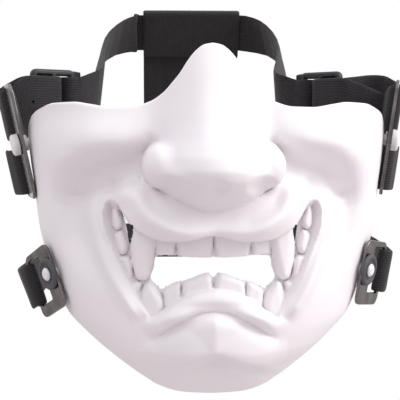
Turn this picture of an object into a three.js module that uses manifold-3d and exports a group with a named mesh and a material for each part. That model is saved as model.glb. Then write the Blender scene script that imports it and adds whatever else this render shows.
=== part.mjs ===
// Half face guard in the style of a snarling samurai mask, with elastic head straps.
// Frame: millimetres, +X to the viewer's right, -Y to the front, +Y to the back, +Z up.
// The origin is the centre of the plane of the rear side rims, where the face meets the guard.
import * as THREE from 'three';
import { mergeVertices } from 'three/addons/utils/BufferGeometryUtils.js';
import Module from 'manifold-3d';

const wasm = await Module();
wasm.setup();

// ---------- driving dimensions, mm ----------
const WALL = 3.0; // thickness of the moulded shell
const WEBBING = 24; // width of the head straps
const NECK_WIDE = 20;
const WEBBING_THICK = 1.6;
const BAND = 60; // width of the band down the back of the head
const TAB = 21.8; // width of the short webbing tabs
const PLATE_THICK = 1.5;
const STUD_HOLE = 2.7; // radius of the holes that the studs pass through
const STUD_SHAFT = 2.2;
const STEP_ACROSS = 24; // half the number of grid columns on the shell
const STEP_UP = 38; // number of grid rows on the shell

// height, half width and forward reach of the shell's rear rim
const RIM = [
  { z: 12, half: 81.5, reach: 8 },
  { z: 8, half: 83.5, reach: 2 },
  { z: 4, half: 84, reach: 0 },
  { z: -6, half: 83, reach: 0 },
  { z: -21, half: 81, reach: 0 },
  { z: -38, half: 79, reach: 0 },
  { z: -52, half: 75.7, reach: 0 },
  { z: -65, half: 71.5, reach: 3 },
  { z: -77, half: 65.5, reach: 8 },
  { z: -85, half: 57, reach: 14 },
  { z: -93.5, half: 45.5, reach: 23 },
  { z: -101, half: 33.5, reach: 33 },
  { z: -105.3, half: 26, reach: 38 },
];
// the top edge, from the middle of the nose out to the side
const TOP = [
  { a: 0, z: 42 }, { a: 3.8, z: 41.2 }, { a: 7, z: 39 }, { a: 11, z: 34.2 }, { a: 14, z: 29.5 },
  { a: 17, z: 25.8 }, { a: 21.5, z: 20.9 }, { a: 27, z: 17.3 }, { a: 35, z: 15.1 }, { a: 44, z: 14.9 },
  { a: 54, z: 16.4 }, { a: 61, z: 17.4 }, { a: 70, z: 17.3 }, { a: 77, z: 15 }, { a: 81.5, z: 12 },
];
const BOTTOM = [{ a: 0, z: -108.6 }, { a: 13, z: -108 }, { a: 26, z: -105.3 }];
// forward reach of the plain face on the middle line
const MIDDLE = [
  { z: 42, reach: 50 }, { z: 30, reach: 52 }, { z: 10, reach: 57 }, { z: -10, reach: 61 },
  { z: -30, reach: 65 }, { z: -50, reach: 66 }, { z: -70, reach: 66 }, { z: -85, reach: 65 },
  { z: -90, reach: 63 }, { z: -97, reach: 57 }, { z: -103, reach: 51 }, { z: -108.6, reach: 45 },
];
// the nose: how far it stands off the face, its half width and how full its section is
const NOSE = [
  { z: 42, lift: 2, half: 15, full: 1.6 }, { z: 32, lift: 6, half: 19, full: 1.6 },
  { z: 20, lift: 11, half: 22, full: 1.6 }, { z: 10, lift: 16.5, half: 23.5, full: 1.5 },
  { z: 3, lift: 22, half: 23, full: 1.15 }, { z: -2, lift: 26, half: 24.5, full: 0.82 },
  { z: -6, lift: 28.4, half: 27, full: 0.66 }, { z: -10, lift: 29, half: 28.2, full: 0.58 },
  { z: -14, lift: 27, half: 27.6, full: 0.52 }, { z: -18, lift: 22, half: 24, full: 0.5 },
  { z: -21, lift: 17, half: 19.5, full: 0.52 }, { z: -24, lift: 11.5, half: 14, full: 0.6 },
  { z: -27, lift: 5, half: 7.5, full: 0.7 }, { z: -29, lift: 0, half: 2, full: 1 },
];
// the cheeks: height of the crest and how far it stands out, from the nose to the side
const CHEEK = [
  { a: 0, z: 7, lift: 0 }, { a: 18, z: 6.5, lift: 0 }, { a: 24, z: 5.5, lift: 1.6 },
  { a: 32, z: 4, lift: 6 }, { a: 42, z: 2, lift: 10 }, { a: 52, z: 1, lift: 11.4 },
  { a: 62, z: -1, lift: 9.2 }, { a: 72, z: -4, lift: 3.8 }, { a: 80, z: -7, lift: 0.6 },
  { a: 84, z: -9, lift: 0 },
];

// ---------- small maths ----------
const clamp = (t, lo = 0, hi = 1) => Math.min(hi, Math.max(lo, t));
const step = (a, b, t) => {
  const q = clamp((t - a) / (b - a));
  return q * q * (3 - 2 * q);
};
const smoothMax = (a, b, k) => {
  const h = clamp(0.5 + (0.5 * (a - b)) / k);
  return b + (a - b) * h + k * h * (1 - h);
};

// smooth reading of one column of a table over another, without overshoot
function reader(rows, key, column) {
  const r = [...rows].sort((p, q) => p[key] - q[key]);
  const X = r.map((p) => p[key]);
  const Y = r.map((p) => p[column]);
  const n = X.length;
  const h = X.slice(1).map((x, i) => x - X[i]);
  const d = h.map((w, i) => (Y[i + 1] - Y[i]) / w);
  const m = Y.map((_, i) => {
    if (i === 0) return d[0];
    if (i === n - 1) return d[n - 2];
    if (d[i - 1] * d[i] <= 0) return 0;
    const p = (2 * h[i] + h[i - 1]) / d[i - 1];
    const q = (h[i] + 2 * h[i - 1]) / d[i];
    return (3 * (h[i - 1] + h[i])) / (p + q);
  });
  return (x) => {
    let k = 0;
    while (k < n - 2 && x > X[k + 1]) k += 1;
    const t = clamp((x - X[k]) / h[k]);
    const u = 1 - t;
    const from = Y[k] * (1 + 2 * t) * u * u + m[k] * h[k] * t * u * u;
    return from + Y[k + 1] * t * t * (3 - 2 * t) + m[k + 1] * h[k] * t * t * (t - 1);
  };
}

// a smooth line through flat points given as [x, z]
function curve(points, parts = 6) {
  const line = [];
  const at = (i) => points[clamp(i, 0, points.length - 1)];
  for (let i = 0; i < points.length - 1; i += 1) {
    for (let k = 0; k < parts; k += 1) {
      const t = k / parts;
      const [p, q, r, s] = [at(i - 1), at(i), at(i + 1), at(i + 2)];
      line.push([0, 1].map((c) => 0.5 * (2 * q[c] + (r[c] - p[c]) * t
        + (2 * p[c] - 5 * q[c] + 4 * r[c] - s[c]) * t * t
        + (3 * q[c] - p[c] - 3 * r[c] + s[c]) * t * t * t)));
    }
  }
  line.push(points[points.length - 1]);
  return line;
}

// distance from a place to a line, and the share of the line's length where it is nearest
function nearest(line, x, z) {
  let best = 1e9;
  let share = 0;
  let run = 0;
  for (let i = 0; i < line.length - 1; i += 1) {
    const dx = line[i + 1][0] - line[i][0];
    const dz = line[i + 1][1] - line[i][1];
    const long = Math.hypot(dx, dz);
    const t = clamp(((x - line[i][0]) * dx + (z - line[i][1]) * dz) / (long * long));
    const away = Math.hypot(x - line[i][0] - t * dx, z - line[i][1] - t * dz);
    if (away < best) {
      best = away;
      share = run + t * long;
    }
    run += long;
  }
  return [best, share / run];
}

function isInside(loop, x, z) {
  let odd = false;
  for (let i = 0; i < loop.length; i += 1) {
    const [ax, az] = loop[i];
    const [bx, bz] = loop[(i + 1) % loop.length];
    if (az > z !== bz > z && x < ((bx - ax) * (z - az)) / (bz - az) + ax) odd = !odd;
  }
  return odd;
}

const domeOf = (a, z, ca, cz, ra, rz, power) => {
  const q = 1 - ((a - ca) / ra) ** 2 - ((z - cz) / rz) ** 2;
  return q > 0 ? q ** power : 0;
};

// ---------- the shell's face, as a forward reach over the front view ----------
const halfAt = reader(RIM, 'z', 'half');
const rimAt = reader(RIM, 'z', 'reach');
const topAt = reader(TOP, 'a', 'z');
const bottomAt = reader(BOTTOM, 'a', 'z');
const middleAt = reader(MIDDLE, 'z', 'reach');
const noseLift = reader(NOSE, 'z', 'lift');
const noseHalf = reader(NOSE, 'z', 'half');
const noseFull = reader(NOSE, 'z', 'full');
const cheekAt = reader(CHEEK, 'a', 'z');
const cheekLift = reader(CHEEK, 'a', 'lift');
const LOW = BOTTOM[2].z;
const HIGH = TOP[TOP.length - 1].z;

// s runs -1..1 across and v runs 0..1 upwards; inset narrows the form for the inner wall
function place(s, v, inset = 0) {
  const zs = LOW + (HIGH - LOW) * v;
  const a = Math.abs(s);
  const low = bottomAt(a * BOTTOM[2].a);
  const z = low + (topAt(a * TOP[TOP.length - 1].a) - low) * v;
  return { x: s * (halfAt(zs) - inset), z, rim: rimAt(zs) };
}

function plain(s, v) {
  const p = place(s, v);
  const high = BOTTOM[0].z + (TOP[0].z - BOTTOM[0].z) * v;
  const middle = middleAt(0.5 * high + 0.5 * p.z);
  const reach = p.rim + (middle - p.rim) * Math.sqrt(Math.max(0, 1 - s * s));
  return { ...p, reach };
}

// the plain reach at a place of the front view
function plainAt(x, z) {
  let s = x / 80;
  let v = 0.5;
  for (let i = 0; i < 12; i += 1) {
    const a = Math.abs(s);
    const low = bottomAt(a * BOTTOM[2].a);
    v = clamp((z - low) / (topAt(a * TOP[TOP.length - 1].a) - low));
    s = clamp(x / halfAt(LOW + (HIGH - LOW) * v), -1, 1);
  }
  return plain(s, v).reach;
}

// lines of the face, each from its first to its last end: [half distance, height]
const LINES = {
  valley: curve([[20.5, 1.5], [27, -4], [34, -8], [44, -11.5], [53, -17], [58, -26], [57, -37],
    [52.5, -47], [47, -57], [41.5, -67]]),
  bag: curve([[66, -17], [60, -22.4], [55, -22.8], [51, -19.9], [43.6, -17.6], [37, -16.6], [30.5, -15.2]]),
  lobe: curve([[43, -19.8], [36, -20], [31, -23], [26, -28.6], [17, -34], [8.4, -36], [0, -35.2]]),
  crease: curve([[30.5, -15.2], [27.7, -19.9], [24.3, -26.2], [17.5, -30.6], [11.3, -33.2], [5.5, -35]]),
  ridge: curve([[42, -19], [46, -19], [49.6, -21.6], [51.8, -26], [51.9, -32.4], [49.2, -41.8],
    [45, -51.3], [39.8, -60.8], [34.6, -69.2], [30.5, -75.3]]),
  chin: curve([[0, -70.3], [9, -72], [18, -76.8], [25, -81.6], [30, -85]]),
  lowLip: curve([[0, -64.3], [8.5, -66.1], [17, -70.6], [24, -75.4], [30, -79.6]]),
  wing: curve([[22.5, 2.5], [19.5, -0.5], [17.2, -4.5], [15.8, -9], [14.8, -13.5]]),
  lipEdge: curve([[0, -37.4], [4, -37.7], [10, -39.4], [16, -40], [23.5, -39.4], [30, -36.8],
    [34.2, -33.9], [38, -28.5], [41.2, -23.2]]),
  corner: curve([[41.2, -23.2], [43.6, -22.2], [46.4, -23.2], [48.4, -27], [48.6, -33], [46.2, -42],
    [41.8, -51.5], [36.7, -61.5], [31.6, -69.6], [27.6, -75]]),
  lowLipTop: curve([[27.6, -75], [21.5, -70.6], [15.5, -66], [8.3, -62.6], [0, -61]]),
};
const MOUTH = [...LINES.lipEdge, ...LINES.corner, ...LINES.lowLipTop];

// a rounded ridge along a line; width and height are given at its start, middle and end
function ridgeOf(a, z, line, width, height, ends) {
  const [away, t] = nearest(line, a, z);
  const along = ([p, q, r]) => (t < 0.5 ? p + (q - p) * step(0, 0.5, t) : q + (r - q) * step(0.5, 1, t));
  const fade = step(0, Math.max(ends[0], 1e-6), t) * step(0, Math.max(ends[1], 1e-6), 1 - t);
  return along(height) * Math.exp(-((away / along(width)) ** 2)) * fade;
}

function bulbOf(a, z, ca, cz, ra, rz, deep, front) {
  const q = 1 - ((a - ca) / ra) ** 2 - ((z - cz) / rz) ** 2;
  return q > 0 ? front - deep + deep * Math.sqrt(q) : front - deep + 60 * q;
}

function faceReach(x, z, base) {
  const a = Math.sqrt(x * x + 1.2) - 0.4;
  let f = base;
  // cheeks, the valley under them and the fold above the mouth
  const away = z - cheekAt(a);
  f += cheekLift(a) * Math.exp(-((away / (away > 0 ? 14 : 10.5)) ** 2));
  f -= ridgeOf(a, z, LINES.valley, [4.5, 8.6, 8], [5, 10, 4.6], [0.05, 0.35]);
  f += 2.5 * domeOf(a, z, 61, -15, 13, 13, 1.4);
  f -= ridgeOf(a, z, LINES.bag, [2.4, 2.8, 2.2], [1.8, 4.2, 3.4], [0.2, 0]);
  // the swollen upper lip and the raised edge round the corner of the mouth
  f += 5 * domeOf(Math.sqrt(x * x + 60), z, 24, -30, 27, 20, 0.9);
  f += ridgeOf(a, z, LINES.lobe, [5.2, 6.2, 3.4], [3.5, 6.8, 3], [0.12, 0]);
  f -= ridgeOf(a, z, LINES.crease, [2.8, 3.2, 2.2], [1.4, 2.2, 0.9], [0.2, 0.3]);
  f += ridgeOf(a, z, LINES.ridge, [3, 3.4, 2.8], [3.4, 4.8, 3.2], [0.12, 0.12]);
  // chin: two planes that meet on a middle ridge, turned under below a bent line
  const under = -86.5 - 0.42 * a;
  const keel = 7.5 * smoothMax(1 - a / 27, 0, 0.12);
  f += step(-66, -73, z) * keel * step(-6, 1.2, z - under);
  f -= 1.6 * Math.exp(-(((z - under + 4) / 3) ** 2)) * Math.sqrt(clamp(1 - a / 30));
  f += 2 * domeOf(a, z, 17, -88, 15, 13, 1.2);
  f -= ridgeOf(a, z, LINES.chin, [2.8, 2.8, 2.8], [1.6, 2.6, 1.5], [0, 0.2]);
  const [lip, t] = nearest(LINES.lowLip, a, z);
  f += 4.4 * clamp(1 - (lip / 4.6) ** 2) ** 0.7 * step(1, 0.75, t);
  // nose, its wings and its nostrils
  if (z > -30.5) {
    const half = noseHalf(z);
    const fall = 60 - 50 * step(-10, 4, z);
    const full = Math.max(0, 1 - (a / half) ** 2) ** noseFull(z);
    const nose = a < half ? base + noseLift(z) * full : base - fall * (a / half - 1);
    f = smoothMax(f, nose, 3.5);
  }
  f = smoothMax(f, bulbOf(a, z, 20.6, -9, 8.6, 9.6, 10.8, 76.8), 5);
  f -= ridgeOf(a, z, LINES.wing, [2.6, 3, 2.8], [0.9, 1.3, 0.7], [0.25, 0.35]);
  f -= 4.2 * domeOf(a, z, 18.6, -17.2, 8, 5.6, 2);
  f -= 2.6 * domeOf(x, z, 0, -17.2, 6, 4.2, 2);
  // the gums lie behind the lips
  const inMouth = isInside([...MOUTH, ...MOUTH.map(([p, q]) => [-p, q]).reverse()], x, z);
  if (inMouth) {
    const up = step(0, 1.6, nearest(LINES.lipEdge, a, z)[0]);
    const out = step(0, 6, nearest(LINES.corner, a, z)[0]);
    const low = step(0, 1.4, nearest(LINES.lowLipTop, a, z)[0]);
    f = Math.min(f, base + 1.5 - 8.5 * up * out * low);
  }
  return f;
}

// ---------- solids ----------
function geometryOf(points, triangles) {
  const g = new THREE.BufferGeometry();
  g.setAttribute('position', new THREE.Float32BufferAttribute(points.flat(), 3));
  g.setIndex(triangles.flat());
  return g;
}

function solidOf(geometry) {
  const bare = geometry.clone();
  bare.deleteAttribute('normal');
  bare.deleteAttribute('uv');
  const g = mergeVertices(bare, 1e-4);
  const vertProperties = new Float32Array(g.attributes.position.array);
  const triVerts = new Uint32Array(g.index.array);
  return new wasm.Manifold(new wasm.Mesh({ numProp: 3, vertProperties, triVerts }));
}

function geometryFrom(solid) {
  const mesh = solid.getMesh();
  const g = new THREE.BufferGeometry();
  g.setAttribute('position', new THREE.BufferAttribute(new Float32Array(mesh.vertProperties), 3));
  g.setIndex(new THREE.BufferAttribute(new Uint32Array(mesh.triVerts), 1));
  return g;
}

const group = new THREE.Group();

function addPiece(name, geometry, look) {
  const g = geometry.index ? geometry.toNonIndexed() : geometry;
  g.computeVertexNormals();
  const mesh = new THREE.Mesh(g, new THREE.MeshStandardMaterial(look));
  mesh.name = name;
  group.add(mesh);
  return mesh;
}

const PLASTIC = { color: '#ebe8ea', roughness: 0.55, metalness: 0 };
const ELASTIC = { color: '#1f1e20', roughness: 0.9, metalness: 0 };
const BUCKLE = { color: '#18181a', roughness: 0.45, metalness: 0 };
const STEEL = { color: '#b4b4b8', roughness: 0.3, metalness: 1 };
const WHITE = { color: '#e2e0e1', roughness: 0.5, metalness: 0 };
const RUBBER = { color: '#3c3c3f', roughness: 0.7, metalness: 0 };

// a closed strip through stations of { p, up }, with a flat rectangular section
function ribbon(stations, width, thick) {
  const points = [];
  const faces = [];
  stations.forEach(({ p, up }, i) => {
    const before = stations[Math.max(0, i - 1)].p;
    const after = stations[Math.min(stations.length - 1, i + 1)].p;
    const along = after.clone().sub(before).normalize();
    const u = up.clone().addScaledVector(along, -up.dot(along)).normalize();
    const n = along.clone().cross(u);
    [[-1, -1], [1, -1], [1, 1], [-1, 1]].forEach(([du, dn]) => {
      const q = p.clone().addScaledVector(u, (du * width) / 2).addScaledVector(n, (dn * thick) / 2);
      points.push([q.x, q.y, q.z]);
    });
  });
  const last = 4 * (stations.length - 1);
  for (let i = 0; i < stations.length - 1; i += 1) {
    for (let k = 0; k < 4; k += 1) {
      const a = 4 * i + k;
      const b = 4 * i + ((k + 1) % 4);
      faces.push([a, b, b + 4], [a, b + 4, a + 4]);
    }
  }
  faces.push([0, 2, 1], [0, 3, 2], [last, last + 1, last + 2], [last, last + 2, last + 3]);
  const g = geometryOf(points, faces);
  const solid = solidOf(g);
  if (solid.volume() > 0) return g;
  return geometryOf(points, faces.map(([a, b, c]) => [a, c, b]));
}

// stations along a smooth line through rows of { x, y, z, ux, uy, uz }
function route(rows, parts = 3) {
  const at = (i) => rows[clamp(i, 0, rows.length - 1)];
  const mix = (key, i, t) => {
    const [p, q, r, s] = [at(i - 1)[key], at(i)[key], at(i + 1)[key], at(i + 2)[key]];
    return 0.5 * (2 * q + (r - p) * t + (2 * p - 5 * q + 4 * r - s) * t * t
      + (3 * q - p - 3 * r + s) * t * t * t);
  };
  const stations = [];
  for (let i = 0; i < rows.length - 1; i += 1) {
    const count = rows[i].parts ?? parts;
    for (let k = 0; k < count; k += 1) {
      const t = k / count;
      stations.push({
        p: new THREE.Vector3(mix('x', i, t), mix('y', i, t), mix('z', i, t)),
        up: new THREE.Vector3(mix('ux', i, t), mix('uy', i, t), mix('uz', i, t)),
      });
    }
  }
  const end = rows[rows.length - 1];
  stations.push({ p: new THREE.Vector3(end.x, end.y, end.z), up: new THREE.Vector3(end.ux, end.uy, end.uz) });
  return stations;
}

// ---------- mask_shell: one hollow moulding ----------
// grid lines lie closer together over the mouth and nose
const acrossAt = reader([
  { i: 0, s: 0 }, { i: 8, s: 0.26 }, { i: 16, s: 0.6 }, { i: 20, s: 0.83 }, { i: 22, s: 0.94 },
  { i: 23, s: 0.985 }, { i: 24, s: 1 },
], 'i', 's');
const upAt = reader([
  { i: 0, v: 0 }, { i: 2, v: 0.045 }, { i: 6, v: 0.21 }, { i: 26, v: 0.71 }, { i: 36, v: 0.96 },
  { i: 38, v: 1 },
], 'i', 'v');

function shellSolid() {
  const columns = 2 * STEP_ACROSS;
  const sAt = (i) => Math.sign(i - STEP_ACROSS) * acrossAt(Math.abs(i - STEP_ACROSS));
  // the relief is read as the mean over one grid cell, so that narrow folds stay smooth
  const relief = (i, j) => {
    let sum = 0;
    [-0.45, 0, 0.45].forEach((di) => [-0.45, 0, 0.45].forEach((dj) => {
      const q = plain(sAt(clamp(i + di, 0, columns)), upAt(clamp(j + dj, 0, STEP_UP)));
      sum += faceReach(q.x, q.z, q.reach) - q.reach;
    }));
    return sum / 9;
  };
  const points = [];
  const faces = [];
  for (let j = 0; j <= STEP_UP; j += 1) {
    for (let i = 0; i <= columns; i += 1) {
      const p = plain(sAt(i), upAt(j));
      const edge = i === 0 || i === columns;
      points.push([p.x, edge ? -p.rim : -(p.reach + relief(i, j)), p.z]);
    }
  }
  // fine samples of the face, for an inner wall that keeps one thickness
  const fine = [];
  for (let j = 0; j <= 110; j += 1) {
    for (let i = 0; i <= 130; i += 1) {
      const p = plain(Math.sin((Math.PI * (i - 65)) / 130), j / 110);
      fine.push([p.x, p.z, faceReach(p.x, p.z, p.reach)]);
    }
  }
  const ball = WALL + 0.3;
  const outer = (i, j) => j * (columns + 1) + i;
  const first = points.length;
  const half = columns / 2;
  const inner = (i, j) => first + (j / 2) * (half + 1) + i / 2;
  for (let j = 0; j <= STEP_UP; j += 2) {
    for (let i = 0; i <= columns; i += 2) {
      const q = place(sAt(i), upAt(j), WALL);
      let reach = 1e9;
      fine.forEach(([x, z, f]) => {
        const d2 = (x - q.x) ** 2 + (z - q.z) ** 2;
        if (d2 < ball * ball) reach = Math.min(reach, f - Math.sqrt(ball * ball - d2));
      });
      const edge = i === 0 || i === columns;
      points.push([q.x, edge ? -q.rim : -Math.max(reach, q.rim), q.z]);
    }
  }
  // each cell is split along the diagonal that lies nearer to the true face at its middle
  const quad = (a, b, c, d, middle, side, turn) => {
    const rise = (points[a][1] + points[c][1]) / 2;
    const fall = (points[b][1] + points[d][1]) / 2;
    const flat = Math.abs(rise - middle) + 0.12 * side < Math.abs(fall - middle);
    const two = flat ? [[a, b, c], [a, c, d]] : [[a, b, d], [b, c, d]];
    two.forEach(([p, q, r]) => faces.push(turn ? [p, r, q] : [p, q, r]));
  };
  for (let j = 0; j < STEP_UP; j += 1) {
    for (let i = 0; i < columns; i += 1) {
      const middle = -(plain(sAt(i + 0.5), upAt(j + 0.5)).reach + relief(i + 0.5, j + 0.5));
      const side = i < STEP_ACROSS ? -1 : 1;
      quad(outer(i, j), outer(i + 1, j), outer(i + 1, j + 1), outer(i, j + 1), middle, side, false);
    }
  }
  for (let j = 0; j < STEP_UP; j += 2) {
    for (let i = 0; i < columns; i += 2) {
      const side = i < STEP_ACROSS ? -1 : 1;
      quad(inner(i, j), inner(i + 2, j), inner(i + 2, j + 2), inner(i, j + 2), 0, side, true);
    }
  }
  // the rim joins two outer steps to each inner step
  const join = (a, m, b, c, d) => faces.push([a, c, m], [m, c, d], [m, d, b]);
  for (let i = 0; i < columns; i += 2) {
    join(outer(i, 0), outer(i + 1, 0), outer(i + 2, 0), inner(i, 0), inner(i + 2, 0));
    const t = STEP_UP;
    join(outer(i + 2, t), outer(i + 1, t), outer(i, t), inner(i + 2, t), inner(i, t));
  }
  for (let j = 0; j < STEP_UP; j += 2) {
    const w = columns;
    join(outer(w, j), outer(w, j + 1), outer(w, j + 2), inner(w, j), inner(w, j + 2));
    join(outer(0, j + 2), outer(0, j + 1), outer(0, j), inner(0, j + 2), inner(0, j));
  }
  return solidOf(geometryOf(points, faces));
}

// a prism that runs front to back between two forward reaches, over a loop of [x, z]
function prism(loop, near, far) {
  const shape = new THREE.Shape(loop.map(([x, z]) => new THREE.Vector2(x, z)));
  const g = new THREE.ExtrudeGeometry(shape, { depth: far - near, bevelEnabled: false });
  g.rotateX(Math.PI / 2);
  g.translate(0, -near, 0);
  return solidOf(g);
}

// teeth: outline of [half distance, height], how far each stands off the gums and its bevel
const TEETH = [
  { stand: 3.6, bevel: 1.3, loop: [[0.9, -34], [0.9, -46.6], [2.0, -47.6], [14.1, -47.4], [15.1, -46.4], [15.4, -34]] },
  { stand: 3.0, bevel: 1.2, loop: [[16.3, -34], [16.3, -46.2], [17.4, -47.2], [23.8, -47], [24.6, -46], [24.8, -34]] },
  { stand: 5.6, bevel: 2.4, loop: [[23.6, -36], [24.6, -45], [26.4, -53], [28.2, -57.2], [31, -58],
    [33.2, -56.2], [34.9, -49], [35.3, -42], [34.8, -34], [30, -32]] },
  { stand: 3.8, bevel: 1.4, loop: [[0.6, -63], [0.6, -57.5], [2.2, -54.7], [5.2, -54.9], [10.2, -56.7],
    [12.6, -57.9], [13.4, -60.5], [13.2, -66], [5, -64]] },
  { stand: 3.6, bevel: 1.3, loop: [[13.9, -60], [14.6, -58.3], [18, -59.2], [20.8, -61.2], [21.3, -64],
    [20.5, -70], [14, -66]] },
  { stand: 5.2, bevel: 2.2, loop: [[24.5, -60.5], [27, -58], [29.3, -59.5], [30.8, -65], [30.6, -71],
    [28, -75.5], [23.2, -73.5], [20.9, -69], [21.5, -64.5]] },
  { stand: 3.4, bevel: 0.9, loop: [[30.9, -61], [31.6, -59], [33, -58.2], [34.8, -59.5], [34.2, -64], [32.4, -68]] },
  { stand: 3.8, bevel: 1.3, loop: [[41.2, -25], [43.2, -28], [43.2, -34], [41.6, -36.8], [39.2, -36],
    [38.4, -33], [39.6, -29]] },
  { stand: 4.2, bevel: 1.3, loop: [[38.2, -37], [41.2, -37.6], [42.2, -40], [40.2, -46.4], [37.4, -47],
    [36.2, -43]] },
  { stand: 4.2, bevel: 1.3, loop: [[36.2, -47.6], [39.4, -48], [39.2, -50.4], [36.6, -56.8], [34.2, -57.6],
    [34.4, -51]] },
];
const GUM = 6.8; // how far the tooth roots lie behind the plain face

function toothSolid({ stand, bevel, loop }, side) {
  let area = 0;
  loop.forEach(([ax, az], i) => {
    const [bx, bz] = loop[(i + 1) % loop.length];
    area += ax * bz - bx * az;
  });
  const ring = area > 0 ? loop : [...loop].reverse();
  const n = ring.length;
  const inward = ring.map((q, i) => {
    const p = ring[(i + n - 1) % n];
    const r = ring[(i + 1) % n];
    const e = new THREE.Vector2(q[0] - p[0], q[1] - p[1]).normalize();
    const f = new THREE.Vector2(r[0] - q[0], r[1] - q[1]).normalize();
    return new THREE.Vector2(-e.y - f.y, e.x + f.x).normalize();
  });
  const levels = [
    { inset: 0, off: -2.2 },
    { inset: 0, off: stand * 0.6 },
    { inset: bevel, off: stand },
  ];
  const points = [];
  levels.forEach(({ inset, off }) => {
    ring.forEach(([a, z], i) => {
      const pa = a + inward[i].x * inset;
      const pz = z + inward[i].y * inset;
      points.push([side * pa, -(plainAt(pa, pz) - GUM + off), pz]);
    });
  });
  const faces = [];
  const flat = THREE.ShapeUtils.triangulateShape(ring.map(([a, z]) => new THREE.Vector2(a, z)), []);
  const top = (levels.length - 1) * n;
  flat.forEach(([a, b, c]) => {
    faces.push([a, c, b], [top + a, top + b, top + c]);
  });
  for (let k = 0; k < levels.length - 1; k += 1) {
    for (let i = 0; i < n; i += 1) {
      const a = k * n + i;
      const b = k * n + ((i + 1) % n);
      faces.push([a, b, b + n], [a, b + n, a + n]);
    }
  }
  const turned = side > 0 ? faces : faces.map(([a, b, c]) => [a, c, b]);
  return solidOf(geometryOf(points, turned));
}

// the mouth's through hole and the slits beside the upper fangs, as [half distance, height]
const MOUTH_HOLE = [[0, -47.5], [10.3, -47.3], [23.2, -46.9], [25.3, -52.5], [26.7, -57], [24.5, -59.8],
  [21.7, -61.7], [17, -59], [13.3, -58.2], [9.9, -57], [5, -55], [2.4, -54.7], [0, -56.4]];
const SLIT = [[40.9, -24.6], [37.4, -33.5], [35.9, -42], [35, -42], [33.6, -34], [36.5, -32.6]];

// ---------- where the hardware sits ----------
// at: middle of the plate on the stud's axis; lean: top outwards, or for a lower plate the turn
// to the front, the tilt down and the roll that drops its rear end, all in degrees
const ANCHORS = [
  { name: 'upper_left', side: -1, at: [-86.4, -8, -0.4], lean: 12, front: 14, down: 0, roll: 0, shoulder: 2.8, foot: -8.9 },
  { name: 'upper_right', side: 1, at: [85.4, -8, 1.5], lean: 8, front: 12, down: 0, roll: 0, shoulder: 1.8, foot: -7.8 },
  { name: 'lower_left', side: -1, at: [-71.6, -24.6, -58.6], lean: 0, front: 35, down: 8, roll: 24, shoulder: 1.8, foot: -8.6 },
  { name: 'lower_right', side: 1, at: [71.5, -24.7, -57.6], lean: 0, front: 35, down: 8, roll: 8, shoulder: 1.7, foot: -8.2 },
];
const rad = THREE.MathUtils.degToRad;
function anchorAxes({ side, at, lean, front, down, roll }) {
  const tip = rad(down + lean);
  const out = new THREE.Vector3(
    side * Math.cos(tip) * Math.cos(rad(front)), -Math.cos(tip) * Math.sin(rad(front)), -Math.sin(tip),
  );
  const back = new THREE.Vector3(side * Math.sin(rad(front)), Math.cos(rad(front)), 0);
  const up = new THREE.Vector3().crossVectors(out, back).multiplyScalar(side);
  const turn = rad(roll);
  const back2 = back.clone().multiplyScalar(Math.cos(turn)).addScaledVector(up, -Math.sin(turn));
  const up2 = up.clone().multiplyScalar(Math.cos(turn)).addScaledVector(back, Math.sin(turn));
  return { o: new THREE.Vector3(...at), out, back: back2, up: up2 };
}
const FRAMES = Object.fromEntries(ANCHORS.map((a) => [a.name, anchorAxes(a)]));
// a point of a plate's frame: b to the rear, u up, n outwards
const on = (f, b, u, n) => f.o.clone().addScaledVector(f.back, b).addScaledVector(f.up, u).addScaledVector(f.out, n);

// ---------- studs ----------
// profile along the axis: r radius, n distance outwards from the plate's middle
function studProfile(head, headTop, seat, foot, shoulder) {
  return [
    [0, foot - 1.5], [3.3, foot - 1.5], [3.3, foot], [STUD_SHAFT, foot], [STUD_SHAFT, -shoulder], [3.7, -shoulder],
    [3.7, -1.1], [STUD_SHAFT, -1.1], [STUD_SHAFT, seat], [head, seat], [head, headTop - 0.8],
    [head - 1, headTop], [0, headTop],
  ];
}
function turned(profile, frame, parts) {
  const g = new THREE.LatheGeometry(profile.map(([r, n]) => new THREE.Vector2(r, n)), parts);
  const up = frame.back.clone().cross(frame.out);
  g.applyMatrix4(new THREE.Matrix4().makeBasis(frame.back, frame.out, up).setPosition(frame.o));
  return mergeVertices(stripped(g), 1e-4);
}
function stripped(g) {
  g.deleteAttribute('normal');
  g.deleteAttribute('uv');
  return g;
}
// the closed lathe keeps its axis points single
function clean(g) {
  const solid = solidOf(g);
  const out = geometryFrom(solid);
  return solid.volume() > 0 ? out : geometryFrom(solidOf(flipped(g)));
}
function flipped(g) {
  const c = g.clone();
  const a = c.index.array;
  for (let i = 0; i < a.length; i += 3) [a[i + 1], a[i + 2]] = [a[i + 2], a[i + 1]];
  return c;
}

let shell = shellSolid();
shell = shell.subtract(prism([...MOUTH_HOLE, ...MOUTH_HOLE.slice(1, -1).map(([a, z]) => [-a, z]).reverse()], 20, 110));
[1, -1].forEach((side) => {
  const slit = SLIT.map(([a, z]) => [side * a, z]);
  shell = shell.subtract(prism(slit, 10, 100));
  TEETH.forEach((tooth) => {
    shell = shell.add(toothSolid(tooth, side));
  });
});
ANCHORS.forEach(({ name }) => {
  const f = FRAMES[name];
  const bore = turned([[0, -16], [STUD_HOLE, -16], [STUD_HOLE, -2], [0, -2]], f, 12);
  const cut = solidOf(bore);
  shell = shell.subtract(cut.volume() > 0 ? cut : solidOf(flipped(bore)));
});
addPiece('mask_shell', geometryFrom(shell), PLASTIC);

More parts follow.
